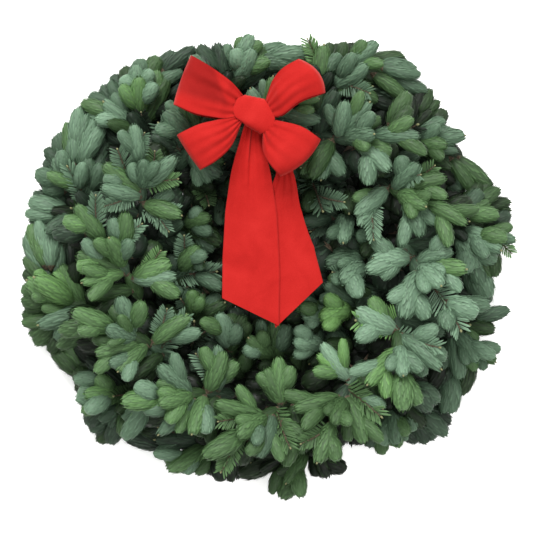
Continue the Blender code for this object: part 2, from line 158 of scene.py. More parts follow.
# A loop seen from its edge: how far out (share of its length) and height over its neck
LOOP_PROFILE = [(0.00, -0.0030), (0.08, -0.0030), (0.18, -0.0036), (0.44, -0.0085),
                (0.78, -0.0080), (0.97, -0.0010), (1.00, 0.0080), (0.93, 0.0170),
                (0.70, 0.0215), (0.44, 0.0168), (0.28, 0.0096), (0.17, 0.0050),
                (0.08, 0.0030), (0.00, 0.0030)]
BULGE_START = 0.7

# Each tail: its middle line (x, y, z) from the knot down, its widths along that line as shares of
# the ribbon's, and how far its bottom corners are cut past the line's end (right, left).
TAILS = {
    "front": {
        "line": [(-0.0190, 0.160, 0.1262), (-0.0206, 0.136, 0.1250), (-0.0214, 0.103, 0.1215),
                 (-0.0212, 0.060, 0.1180), (-0.0210, 0.010, 0.1165), (-0.0215, -0.036, 0.1180)],
        "widths": [0.25, 0.42, 0.69, 0.90, 1.0, 1.0],
        "cut": (0.030, 0.000),
    },
    "back": {
        "line": [(-0.0140, 0.158, 0.1238), (0.0060, 0.136, 0.1222), (0.0162, 0.103, 0.1180),
                 (0.0132, 0.060, 0.1145), (0.0172, 0.018, 0.1135), (0.0270, -0.022, 0.1150)],
        "widths": [0.20, 0.25, 0.30, 0.70, 1.0, 1.0],
        "cut": (0.004, 0.040),
    },
}

TIE_WIRE_RADIUS = 0.0006
TIE_ROUTE = [(-0.0478, 0.1705, 0.1306), (-0.0190, 0.1680, 0.1306), (0.0112, 0.1655, 0.1306),
             (0.0125, 0.1640, 0.1270), (0.0020, 0.1560, 0.1020), (-0.0150, 0.1440, 0.0560),
             (-0.0218, 0.1405, 0.0100), (-0.0232, 0.1450, 0.0010), (-0.0250, 0.1590, 0.0010),
             (-0.0262, 0.1660, 0.0100), (-0.0290, 0.1700, 0.0560), (-0.0400, 0.1730, 0.1020),
             (-0.0496, 0.1715, 0.1270)]

# How high the foliage may stand round the bow's middle, and beside and below its tails
BOW_REACH = 0.098
UNDER_BOW = 0.116
UNDER_TAILS = 0.103
TAIL_SIDE = 0.060
TAIL_END = -0.068

# ---------------------------------------------------------------- needles and colour

# The needles' map is a row of narrow strips. The first family runs from dark to bright green,
# the second from dark to pale blue-grey, and the last two strips are buds and bark. A branchlet's
# level in its family carries painted light and shade as well as its own paleness, and the dark
# ends of both families are painted shade.
STRIPS = 32
FAMILY = 15
BUD_STRIP = 30
BARK_STRIP = 31
STRIP_EDGE = 0.06
MAP_EDGE = 0.01
TINT_LEVELS = 0.8

BRANCHLET_LENGTH = 0.055
BRANCHLET_GIRTH = 0.011
NEEDLE_WIDTH = 0.0023
NEEDLE_THICKNESS = 0.00045
BED_SIDES = 12
GOLDEN_TURN = math.pi * (3 - math.sqrt(5))
TINY = 1e-6

# Patches of colour over the wreath: x, y, reach, how blue, how pale, and how thick the branchlets.
# How pale is partly the needles' own colour and partly painted shade: the lowest values, under and
# beside the bow and its tails, paint their shadow.
PATCHES = [
    (0.165, -0.020, 0.060, 1.00, 0.80, 1.16),
    (0.110, -0.095, 0.045, 0.20, 0.92, 1.00),
    (0.200, 0.120, 0.070, 0.35, 0.55, 0.95),
    (0.080, 0.120, 0.045, 0.75, 0.70, 1.05),
    (0.060, 0.230, 0.070, 0.45, 0.55, 0.95),
    (-0.110, 0.215, 0.060, 0.90, 0.62, 1.00),
    (-0.190, 0.110, 0.070, 0.95, 0.60, 1.00),
    (-0.130, 0.080, 0.050, 0.85, 0.62, 0.95),
    (-0.215, 0.010, 0.045, 0.10, 0.80, 0.95),
    (-0.235, -0.070, 0.050, 0.20, 0.66, 1.00),
    (-0.130, -0.150, 0.050, 0.25, 0.74, 1.05),
    (-0.070, -0.080, 0.050, 0.70, 0.60, 1.00),
    (0.005, -0.127, 0.030, 0.00, 0.68, 1.00),
    (-0.010, -0.160, 0.030, 0.00, 0.68, 1.00),
    (0.030, -0.220, 0.070, 0.15, 0.52, 1.05),
    (-0.170, -0.190, 0.050, 0.60, 0.55, 1.10),
    (0.210, -0.130, 0.060, 0.75, 0.52, 1.10),
    (-0.125, 0.002, 0.032, 0.50, 0.80, 1.00),
    (0.010, 0.128, 0.030, 0.50, 0.55, 1.00),
    (0.070, -0.068, 0.032, 0.40, 1.20, 1.00),
    (-0.060, -0.058, 0.032, 0.50, 1.02, 1.00),
    (0.000, -0.088, 0.030, 0.15, 0.72, 1.00),
    (0.000, -0.190, 0.045, 0.10, 0.62, 1.00),
    # Painted shadow under the bow's tails
    (0.000, 0.082, 0.035, 0.30, 0.04, 0.90),
    (0.000, 0.255, 0.040, 0.50, 0.80, 1.00),
    (-0.170, 0.175, 0.040, 0.90, 0.80, 1.00),
    # The next three paint the bow's shadow beside its loops and tails
    (0.052, 0.108, 0.022, 0.40, 0.22, 1.00),
    (-0.056, 0.104, 0.020, 0.30, 0.22, 1.00),
    (-0.088, 0.163, 0.018, 0.40, 0.22, 1.00),
]


def polar(angle, radius, height):
    """The point at an angle, a radius and a height."""
    return Vector((radius * math.cos(angle), radius * math.sin(angle), height))


def smooth_line(points, steps):
    """A curve through the points, with a number of steps between each two."""
    ends = [points[0] * 2 - points[1]] + list(points) + [points[-1] * 2 - points[-2]]
    line = []
    for a, b, c, d in zip(ends, ends[1:], ends[2:], ends[3:]):
        for step in range(steps):
            t = step / steps
            line.append(0.5 * (2 * b + (c - a) * t + (2 * a - 5 * b + 4 * c - d) * t ** 2
                               + (3 * b - a - 3 * c + d) * t ** 3))
    return line + [Vector(points[-1])]


def outline_radius(angle, outline=OUTLINE):
    """How far the foliage may reach at an angle."""
    place = (angle % math.tau) / math.tau * len(outline)
    low = int(place)
    share = place - low
    return outline[low % len(outline)] * (1 - share) + outline[(low + 1) % len(outline)] * share


def foliage_ceiling(point):
    """How high foliage may stand at a point: less under the bow and its tails."""
    if math.hypot(point.x - BOW_CENTRE.x, point.y - BOW_CENTRE.y) < BOW_REACH:
        return UNDER_BOW
    if abs(point.x) < TAIL_SIDE and TAIL_END < point.y < BOW_CENTRE.y:
        return UNDER_TAILS
    return FOLIAGE_TOP


def in_bounds(tip, radius):
    """Whether a branchlet's tip stays off the floor, out of the hole and inside the outline."""
    reach = math.hypot(tip.x, tip.y)
    if tip.z < radius + FLOOR_GAP or tip.z + radius > foliage_ceiling(tip):
        return False
    if reach - radius < HOLE_RADIUS:
        return False
    return reach + TIP_OVERHANG * radius < outline_radius(math.atan2(tip.y, tip.x))


def girth_share(share):
    """A branchlet's thickness at a share of its length, as a share of its greatest."""
    return 1.0 if FULL_GIRTH[0] < share < FULL_GIRTH[1] else FINGER_END


def rod_gaps(base, tip, shares, owner, rods):
    """At each share of a branchlet's length: the share, how far off the middle line of every
    rod but the owner's is, and how thick those rods are."""
    others = [rod for rod in rods if rod[3] != owner]
    starts = np.array([rod[0] for rod in others])
    spans = np.array([rod[1] for rod in others]) - starts
    sizes = np.array([rod[2] for rod in others])
    squares = (spans ** 2).sum(axis=1)
    for share in shares:
        point = np.array(base.lerp(tip, share))
        along = np.clip(((point - starts) * spans).sum(axis=1) / squares, 0, 1)
        yield share, np.linalg.norm(point - starts - spans * along[:, None], axis=1), sizes


def is_clear(base, tip, radius, owner, rods):
    """Whether a branchlet keeps its distance from the rods of every other sprig."""
    return not any((gaps < sizes + radius * girth_share(share) + CLEARANCE).any()
                   for share, gaps, sizes in rod_gaps(base, tip, CLEAR_SHARES, owner, rods))


def finger_direction(line, place, left, lift):
    """The base of a branchlet on its stem, and the direction that it grows in."""
    step = min(int(place * (len(line) - 1)), len(line) - 2)
    base = line[step].lerp(line[step + 1], place * (len(line) - 1) - step)
    ahead = (line[step + 1] - line[step]).normalized()
    side = Vector((0, 0, 1)).cross(ahead).normalized()
    up = ahead.cross(side)
    flat = ahead * math.cos(left) + side * math.sin(left)
    return base, (flat * math.cos(lift) + up * math.sin(lift)).normalized()


def stretched(point):
    """A point of an outer stem, moved out so that the stem's end follows the outline."""
    reach = math.hypot(point.x, point.y)
    share = max(0, reach - OUTER_START) / (OUTER_END - OUTER_START)
    end = outline_radius(math.atan2(point.y, point.x)) - OUTER_MARGIN
    wanted = max(reach, OUTER_START + share * (end - OUTER_START))
    return Vector((point.x * wanted / reach, point.y * wanted / reach, point.z))


def grow_sprigs():
    """Every sprig's stem line and its branchlets (base, tip, radius), none of them touching."""
    chance = random.Random(SEED)
    tie = [Vector(point) for point in TIE_ROUTE]
    rods = [(a, b, TIE_WIRE_RADIUS, "tie") for a, b in zip(tie, tie[1:] + tie[:1])]
    sprigs = {}
    for run, plan in RUNS.items():
        for number in range(SECTORS):
            clamp_angle = number * SECTOR_ANGLE
            route = [polar(clamp_angle - math.radians(turn), radius, height)
                     for turn, radius, height in plan["route"]]
            if run == "outer":
                route = [stretched(point) for point in route]
            line = smooth_line(route, STEM_STEPS)
            name = f"{run}_sprig_{number + 1:02d}"
            sprigs[name] = {"line": line, "run": run, "fingers": []}
            rods += [(a, b, STEM_RADIUS, name) for a, b in zip(line, line[1:])]
    for name, sprig in sprigs.items():
        for place, left, lift, length in RUNS[sprig["run"]]["fingers"]:
            widest = FINGER_RADIUS * chance.uniform(*GIRTH_RANGE)
            for attempt in range(ATTEMPTS):
                wander = TURN_WANDER + TURN_WANDER_STEP * attempt
                radius = widest * (1 - attempt * GIRTH_LOSS)
                base, ahead = finger_direction(
                    sprig["line"], min(1, place + chance.uniform(-PLACE_WANDER, PLACE_WANDER)),
                    math.radians(left + chance.uniform(-wander, wander)),
                    math.radians(lift + chance.uniform(-wander, wander) * LIFT_WANDER))
                base = base - ahead * FINGER_ROOT
                reach = length * chance.uniform(*LENGTH_RANGE) * (1 - attempt * LENGTH_LOSS)
                tip = base + ahead * reach
                if in_bounds(tip, radius) and is_clear(base, tip, radius, name, rods):
                    sprig["fingers"].append((base, tip, radius))
                    rods.append((base, tip, radius, name))
                    break
    return sprigs


# ---------------------------------------------------------------- side shoots

SHOOT_ATTEMPTS = 9
SHOOT_OVERLAP = 0.55
SHOOT_SHARES = (0.55, 0.8, 1.0)
# Where a shoot starts along its branchlet, degrees that it turns away, how it rises, and its
# length and girth as shares of the branchlet's
SHOOT_START = (0.18, 0.50)
SHOOT_TURN = (20, 42)
SHOOT_RISE = (-0.12, 0.22)
SHOOT_LENGTH = (0.56, 0.80)
SHOOT_LENGTH_LOSS = 0.04
SHOOT_GIRTH = (0.78, 0.94)


def has_room(base, tip, radius, parent, rods):
    """Whether a shoot mostly keeps clear of every branchlet but the one that it grows from."""
    return not any((gaps < (sizes + radius) * SHOOT_OVERLAP).any()
                   for _, gaps, sizes in rod_gaps(base, tip, SHOOT_SHARES, parent, rods))


def grow_shoots(sprigs):
    """The smaller shoots to the left and right of each branchlet, in its own flat spray."""
    chance = random.Random(SEED + 1)
    rods = []
    for name, sprig in sprigs.items():
        sprig["shoots"] = []
        rods += [(*finger, (name, number)) for number, finger in enumerate(sprig["fingers"])]
    for name, sprig in sprigs.items():
        for number, (base, tip, girth) in enumerate(sprig["fingers"]):
            ahead = (tip - base).normalized()
            side = Vector((0, 0, 1)).cross(ahead).normalized()
            up = ahead.cross(side)
            for hand in (-1, 1):
                for attempt in range(SHOOT_ATTEMPTS):
                    start = base.lerp(tip, chance.uniform(*SHOOT_START))
                    turn = math.radians(chance.uniform(*SHOOT_TURN)) * hand
                    rise = chance.uniform(*SHOOT_RISE)
                    reach = ((tip - base).length * chance.uniform(*SHOOT_LENGTH)
                             * (1 - SHOOT_LENGTH_LOSS * attempt))
                    radius = girth * chance.uniform(*SHOOT_GIRTH)
                    way = ahead * math.cos(turn) + side * math.sin(turn) + up * rise
                    end = start + way * reach
                    owner = (name, number)
                    if in_bounds(end, radius) and has_room(start, end, radius, owner, rods):
                        sprig["shoots"].append((start, end, radius))
                        rods.append((start, end, radius, owner))
                        break


# How far the rim is filled with low branchlets, every 15 degrees counterclockwise from +X
RIM = [0.266, 0.286, 0.255, 0.272, 0.290, 0.264, 0.257, 0.263, 0.278, 0.286, 0.292, 0.286,
       0.284, 0.292, 0.260, 0.286, 0.228, 0.252, 0.243, 0.224, 0.234, 0.280, 0.266, 0.252]
RIM_START = 0.200
# The search for gaps: the height that they are seen from, the grid of cells (its spacing and how
# many lie on each side of the middle), its margins, and what a branchlet hides of the cells
VIEW_HEIGHT = 3.0
FILL_CELL = 0.004
FILL_CELLS = 72
FILL_INNER = 0.047
FILL_MARGIN = 0.007
FILL_GAP = 0.0004
FILL_COVER = 0.70
FILL_COVER_ENDS = (0.06, 0.96)
# The low branchlets' sizes, how far each goes past its cell, and how high it lies
FILL_GIRTH = 0.0144
RIM_GIRTH = 0.0108
FILL_GIRTH_RANGE = (0.88, 1.12)
FILL_LENGTHS = (0.030, 0.052)
FILL_PASS = 0.009
FILL_RISE = (0.35, 0.90)
FILL_SINK = 0.002
FILL_FLOOR = 0.010
# Where they grow from: the stem past its clamp, and a place along each branchlet. The best root
# is about this far from the cell, so that the branchlet leans clockwise. Past the first radius
# it also leans outward, and inside the second one inward.
STEM_ROOT_START = 6
BRANCHLET_ROOT = 0.35
ROOT_DISTANCE = 0.030
ROOT_DISTANCE_COST = 40
RIM_LEAN = (0.18, 0.5)
HOLE_LEAN = (0.10, -0.4)
# The sleeves of needles on a stem: their thickness, and from where to where along it
SLEEVE_GIRTH = 0.0088
SLEEVES = ((0.42, 0.72), (0.66, 1.0))
# The place along a branchlet where its colour, its light and its kind are looked up
MIDDLE = 0.6


def cover_stems(sprigs):
    """The needles along each stem's outer part, as two short sleeves."""
    for sprig in sprigs.values():
        line = sprig["line"]
        last = len(line) - 1
        sprig["sleeves"] = [(line[round(first * last)], line[round(end * last)], SLEEVE_GIRTH)
                            for first, end in SLEEVES]


def freeze_rods(sprigs):
    """Every branchlet's base and tip as fixed points, so that it can be looked up."""
    for sprig in sprigs.values():
        for kind in ("fingers", "shoots", "sleeves"):
            sprig[kind] = [(Vector(base).freeze(), Vector(tip).freeze(), radius)
                           for base, tip, radius in sprig[kind]]


def choose_open_ones(sprigs):
    """Which branchlets are open, comb-like ones."""
    chance = random.Random(SEED + 4)
    for sprig in sprigs.values():
        sprig["open"] = {rod for kind in ("fingers", "shoots") for rod in sprig[kind]
                         if chance.random() < comb_share(*rod[0].lerp(rod[1], MIDDLE).xy)}


def seen(point):
    """Where a point shows on the floor's plane from straight above."""
    return np.array(point[:2]) * VIEW_HEIGHT / (VIEW_HEIGHT - point[2])


def fill_roots(sprigs):
    """The places that low branchlets may grow from, and the sprig that each belongs to."""
    roots, owners = [], []
    for name, sprig in sprigs.items():
        points = sprig["line"][STEM_ROOT_START:]
        points += [base.lerp(tip, BRANCHLET_ROOT) for base, tip, _ in sprig["fingers"]]
        roots += [tuple(point) for point in points]
        owners += [name] * len(points)
    return np.array(roots), owners


def best_root(cell, reach, roots):
    """The number of the root that a branchlet reaches a cell from best, the way from there to the
    cell, and how far that is."""
    towards = cell - roots[:, :2]
    distance = np.linalg.norm(towards, axis=1)
    clockwise = np.array([cell[1], -cell[0]]) / reach
    swing = RIM_LEAN[1] if reach > RIM_LEAN[0] else HOLE_LEAN[1] if reach < HOLE_LEAN[0] else 0
    lean = (towards / distance[:, None] * (clockwise + cell / reach * swing)).sum(axis=1)
    cost = np.abs(distance - ROOT_DISTANCE) * ROOT_DISTANCE_COST - lean
    best = int(cost.argmin())
    return best, Vector((*towards[best], 0)).normalized(), distance[best]


def fill_gaps(sprigs):
    """Low branchlets that grow into each gap that the wreath's front would show."""
    chance = random.Random(SEED + 3)
    rods = [rod for sprig in sprigs.values() for kind in ("fingers", "shoots", "sleeves")
            for rod in sprig[kind] if rod not in sprig["open"]]
    starts = np.array([seen(rod[0]) for rod in rods])
    ends = np.array([seen(rod[1]) for rod in rods])
    girths = np.array([rod[2] for rod in rods])
    roots, owners = fill_roots(sprigs)
    for sprig in sprigs.values():
        sprig["fills"] = []
    steps = range(-FILL_CELLS, FILL_CELLS + 1)
    cells = [(column * FILL_CELL, row * FILL_CELL) for column in steps for row in steps]
    chance.shuffle(cells)
    for x, y in cells:
        reach = math.hypot(x, y)
        if not FILL_INNER < reach < outline_radius(math.atan2(y, x), RIM) - FILL_MARGIN:
            continue
        cell = np.array([x, y])
        spans = ends - starts
        along = np.clip(((cell - starts) * spans).sum(axis=1) / (spans ** 2).sum(axis=1),
                        *FILL_COVER_ENDS)
        covered = girths * FILL_COVER * along_table(BED, along)
        gaps = np.linalg.norm(cell - starts - spans * along[:, None], axis=1) - covered
        if gaps.min() < FILL_GAP:
            continue
        best, flat, distance = best_root(cell, reach, roots)
        root = Vector(roots[best])
        size = (FILL_GIRTH if reach < RIM_START else RIM_GIRTH) * chance.uniform(*FILL_GIRTH_RANGE)
        tip = Vector((x, y, 0)) + flat * FILL_PASS
        limit = foliage_ceiling(tip) - size - FILL_SINK
        tip.z = min(limit, max(size + FILL_SINK, root.z * chance.uniform(*FILL_RISE)))
        base = tip - flat * min(FILL_LENGTHS[1], max(FILL_LENGTHS[0], distance))
        base.z = max(FILL_FLOOR, min(root.z, tip.z))
        sprigs[owners[best]]["fills"].append((base, tip, size))
        starts = np.vstack([starts, seen(base)])
        ends = np.vstack([ends, seen(tip)])
        girths = np.append(girths, size)


# ---------------------------------------------------------------- modelling helpers

def deselect():
    """Nothing selected, object mode."""
    if bpy.context.mode != "OBJECT":
        bpy.ops.object.mode_set(mode="OBJECT")
    bpy.ops.object.select_all(action="DESELECT")


def choose(made):
    """One object, selected and active."""
    deselect()
    made.select_set(True)
    bpy.context.view_layer.objects.active = made


def pick(made, wanted, kind="verts"):
    """In edit mode, selects only the vertices or faces for which wanted is true."""
    bpy.ops.object.mode_set(mode="EDIT")
    bpy.ops.mesh.select_mode(type="VERT" if kind == "verts" else "FACE")
    bpy.ops.mesh.select_all(action="DESELECT")
    bpy.ops.object.mode_set(mode="OBJECT")
    parts = made.data.vertices if kind == "verts" else made.data.polygons
    for part in parts:
        part.select = wanted(part)
    bpy.ops.object.mode_set(mode="EDIT")


def take_shape(made):
    """A modelled object's mesh as arrays, ready to be copied. The object itself is removed."""
    mesh = made.data
    shape = {
        "co": np.array([vert.co[:] for vert in mesh.vertices]),
        "corners": np.array([loop.vertex_index for loop in mesh.loops]),
        "sizes": np.array([face.loop_total for face in mesh.polygons]),
    }
    shape["smooth"] = np.ones(len(shape["sizes"]), bool)
    bpy.data.objects.remove(made)
    return shape


def joined(shapes):
    """Several shapes as one."""
    starts = np.cumsum([0] + [len(shape["co"]) for shape in shapes])
    whole = {key: np.concatenate([shape[key] for shape in shapes])
             for key in shapes[0] if key != "corners"}
    whole["corners"] = np.concatenate(
        [shape["corners"] + start for shape, start in zip(shapes, starts)])
    return whole


def face_starts(sizes):
    """Where each face's corners begin, and which face each corner belongs to."""
    return np.cumsum(sizes) - sizes, np.repeat(np.arange(len(sizes)), sizes)


def unwrapped(turn, starts, face):
    """The turn round a twig at each corner, from 0 to 1, with no face across the seam."""
    wrapped = (turn % math.tau) / math.tau
    first = wrapped[starts][face]
    return np.clip(wrapped + (first - wrapped > 0.5) - (wrapped - first > 0.5), 0, 1)


def strip_place(strip, across):
    """Where a place across a strip lies on the needles' map."""
    return (strip + STRIP_EDGE + (1 - 2 * STRIP_EDGE) * across) / STRIPS


# The needle, a unit long: the radius of its three-sided section, how much of its length is its
# body, how narrow its foot is, and how deep the bed's grooves are
NEEDLE_SECTION = 0.57
NEEDLE_BODY = 0.78
NEEDLE_FOOT = 0.6
BED_GROOVE = 0.95


def model_needle():
    """One flat needle, a unit long and wide: three-sided, narrow at its foot, blunt at its tip."""
    deselect()
    bpy.ops.mesh.primitive_cylinder_add(vertices=3, radius=NEEDLE_SECTION, depth=NEEDLE_BODY,
                                        location=(0, 0, NEEDLE_BODY / 2))
    needle = bpy.context.object
    bpy.ops.object.transform_apply(location=True, rotation=False, scale=False)
    pick(needle, lambda face: face.normal.z > 0.9, "faces")
    bpy.ops.mesh.extrude_region_move(TRANSFORM_OT_translate={"value": (0, 0, 1 - NEEDLE_BODY)})
    bpy.ops.mesh.merge(type="CENTER")
    pick(needle, lambda vert: vert.co.z < 0.1)
    bpy.ops.transform.resize(value=(NEEDLE_FOOT, NEEDLE_FOOT, 1), center_override=(0, 0, 0))
    bpy.ops.mesh.select_all(action="SELECT")
    bpy.ops.mesh.normals_make_consistent(inside=False)
    bpy.ops.object.mode_set(mode="OBJECT")
    shape = take_shape(needle)
    corner = shape["co"][shape["corners"]]
    shape["across"] = np.clip(corner[:, 0] + 0.5, 0, 1)
    shape["along"] = corner[:, 2]
    return shape


def model_bed():
    """The tightly packed inner needles round a twig: a ridged spindle, a unit long and wide."""
    deselect()
    bpy.ops.mesh.primitive_uv_sphere_add(segments=BED_SIDES, ring_count=8, radius=0.5,
                                         location=(0, 0, 0.5))
    bed = bpy.context.object
    bpy.ops.object.transform_apply(location=True, rotation=False, scale=False)
    pick(bed, lambda vert: round(math.atan2(vert.co.y, vert.co.x) / math.tau * BED_SIDES) % 2 == 0)
    bpy.ops.transform.resize(value=(BED_GROOVE, BED_GROOVE, 1), center_override=(0, 0, 0.5))
    bpy.ops.object.mode_set(mode="OBJECT")
    return take_shape(bed)


def model_bud():
    """The small round bud at a branchlet's tip."""
    deselect()
    bpy.ops.mesh.primitive_ico_sphere_add(subdivisions=1, radius=0.5)
    return take_shape(bpy.context.object)


# Shape of a plump branchlet, as (place along it, distance from its middle line): how far its
# needles' tips stand out, and the bed of its inner needles. TWIG is a bare twig.
ENVELOPE = [(0.00, 0.34), (0.10, 0.68), (0.24, 0.92), (0.42, 1.02), (0.62, 1.01), (0.76, 0.93),
            (0.87, 0.79), (0.95, 0.60), (1.00, 0.42), (1.04, 0.22)]
BED = [(0.00, 0.13), (0.06, 0.16), (0.12, 0.46), (0.26, 0.80), (0.46, 0.94), (0.66, 0.91),
       (0.80, 0.80), (0.90, 0.63), (0.97, 0.38), (1.00, 0.00)]
TWIG = [(0.00, 0.14), (0.50, 0.11), (0.94, 0.08), (1.00, 0.02)]
BARK_END = 0.10
# How much darker the bed's colour is painted than its needles', as shade under the needles over it
BED_PAINTED_SHADE = -0.9
BED_MAP_START = 0.05
BED_MAP_SPAN = 0.5
BUD_STRETCH = 1.5

# A plump branchlet: how wide and high it is, where its needles' feet stand, how few there are
# below, how far each needle reaches along it, and how much all of this varies
PLUMP_GIRTH = (1.06, 0.82)
PLUMP_BUD = 0.0026
FOOT_START = 0.03
FOOT_SPAN = 0.85
FOOT_WANDER = 0.4
FOOT_TURN = 0.25
FOOT_DEPTH = 0.94
BELOW = -0.30
BELOW_KEPT = 0.45
REACH = 0.27
REACH_LOSS = 0.07
REACH_RANGE = (0.88, 1.12)
FOREMOST = 0.99
FOREMOST_SPREAD = 0.05
HEIGHT_RANGE = (0.95, 1.05)
SWIRL = 0.16
WIDTH_RANGE = (0.85, 1.12)

# An open branchlet: its needles' places along the twig, how far they are raised or turned
# (radians), how they lean off the twig (degrees, less towards its tip) and how long they are
COMB_START = 0.05
COMB_SPAN = 0.92
COMB_WANDER = 0.25
COMB_RAISE = (-0.1, 0.42)
COMB_LEAN = 66
COMB_LEAN_LOSS = 34
COMB_LEAN_WANDER = 5
COMB_LENGTH = 0.0185
COMB_LENGTH_LOSS = 0.0065
COMB_LENGTH_WANDER = 0.001
COMB_FOOT = 0.0008
COMB_KEEL = (0.0, 1.0, 0.3)
COMB_WIDTHS = (0.8, 1.0)
COMB_BUD = 0.0028
COMB_BUD_PLACE = 0.995
TOP_START = 0.06
TOP_SPAN = 0.90
TOP_TURN = 0.7
TOP_LEAN = 44
TOP_LEAN_WANDER = 8
TOP_LENGTH = 0.0120


def along_table(table, share):
    """A value read from a table of (share, value)."""
    places, values = zip(*table)
    return np.interp(share, places, values)


def needle_copies(needle, starts, ends, outward, widths, tints):
    """Copies of the needle from each start to each end, its keel facing outward."""
    ahead = ends - starts
    lengths = np.linalg.norm(ahead, axis=1, keepdims=True)
    ahead = ahead / lengths
    out = outward - (outward * ahead).sum(axis=1, keepdims=True) * ahead
    out = out / np.linalg.norm(out, axis=1, keepdims=True)
    side = np.cross(out, ahead)
    unit = needle["co"]
    count, size = len(starts), len(unit)
    co = (starts[:, None] + unit[None, :, 0:1] * (side * widths)[:, None]
          + unit[None, :, 1:2] * (out * NEEDLE_THICKNESS)[:, None]
          + unit[None, :, 2:3] * (ahead * lengths)[:, None])
    offsets = np.arange(count)[:, None] * size
    loops = len(needle["corners"])
    return {
        "co": co.reshape(-1, 3),
        "corners": (needle["corners"][None] + offsets).ravel(),
        "sizes": np.tile(needle["sizes"], count),
        "smooth": np.zeros(len(needle["sizes"]) * count, bool),
        "across": np.tile(needle["across"], count),
        "along": np.tile(needle["along"], count),
        "tint": np.repeat(tints, loops),
        "kind": np.zeros(count * loops, int),
    }


def bed_copy(bed, table, girth, twig_only=False):
    """The inner needles' bed or a bare twig, with its base in bark."""
    co = bed["co"].copy()
    share = co[:, 2].copy()
    turn = np.arctan2(co[:, 1], co[:, 0])
    square = share * (1 - share)
    ridge = np.hypot(co[:, 0], co[:, 1]) / np.sqrt(np.maximum(square, TINY))
    ridge = np.where(square < TINY, 0, ridge)
    radius = along_table(table, share) * girth * ridge
    co = np.column_stack([radius * np.cos(turn), radius * np.sin(turn), share * BRANCHLET_LENGTH])
    corner = bed["corners"]
    starts, face = face_starts(bed["sizes"])
    middle = np.add.reduceat(share[corner], starts) / bed["sizes"]
    bark = (middle < BARK_END)[face] | twig_only
    return {
        "co": co, "corners": corner, "sizes": bed["sizes"], "smooth": bed["smooth"],
        "across": unwrapped(turn[corner], starts, face),
        "along": np.where(bark, share[corner], share[corner] * BED_MAP_SPAN + BED_MAP_START),
        "tint": np.full(len(corner), BED_PAINTED_SHADE),
        "kind": np.where(bark, 2, 0),
    }


def bud_copy(bud, girth, place):
    """A bud at the end of a branchlet."""
    co = bud["co"] * np.array([girth, girth, girth * BUD_STRETCH]) + np.array([0, 0, place])
    corner = bud["corners"]
    return {
        "co": co, "corners": corner, "sizes": bud["sizes"], "smooth": bud["smooth"],
        "across": np.full(len(corner), 0.5),
        "along": bud["co"][corner, 2] + 0.5,
        "tint": np.zeros(len(corner)),
        "kind": np.ones(len(corner), int),
    }


def plump_branchlet(needle, bed, bud, count, seed):
    """A plump branchlet: needles that sweep up and forwards over each other to a round tip.
    It ends in a bud if one is given."""
    chance = np.random.default_rng(seed)
    step = np.arange(count)
    place = (step + chance.uniform(-FOOT_WANDER, FOOT_WANDER, count)) / count
    share = FOOT_START + FOOT_SPAN * place
    turn = step * GOLDEN_TURN + chance.uniform(-FOOT_TURN, FOOT_TURN, count)
    kept = (np.sin(turn) >= BELOW) | (chance.random(count) < BELOW_KEPT)
    share, turn = share[kept], turn[kept]
    count = len(share)
    reach = (REACH - REACH_LOSS * share) * chance.uniform(*REACH_RANGE, count)
    end = np.minimum(share + reach, FOREMOST + FOREMOST_SPREAD * chance.random(count))
    low = along_table(BED, share) * FOOT_DEPTH
    high = along_table(ENVELOPE, end) * chance.uniform(*HEIGHT_RANGE, count)
    swirl = turn + chance.uniform(-SWIRL, SWIRL, count)
    wide, tall = (BRANCHLET_GIRTH * girth for girth in PLUMP_GIRTH)

    def ring(radius, angle, place):
        return np.column_stack([radius * np.cos(angle) * wide, radius * np.sin(angle) * tall,
                                place * BRANCHLET_LENGTH])

    starts = ring(low, turn, share)
    ends = ring(high, swirl, end)
    outward = np.column_stack([np.cos(turn), np.sin(turn), np.zeros(count)])
    widths = NEEDLE_WIDTH * chance.uniform(*WIDTH_RANGE, (count, 1))
    tints = chance.uniform(-1, 1, count)
    whole = [needle_copies(needle, starts, ends, outward, widths, tints)]
    inner = bed_copy(bed, BED, BRANCHLET_GIRTH)
    inner["co"][:, :2] *= PLUMP_GIRTH
    whole.append(inner)
    if bud:
        whole.append(bud_copy(bud, PLUMP_BUD, BRANCHLET_LENGTH))
    return joined(whole)


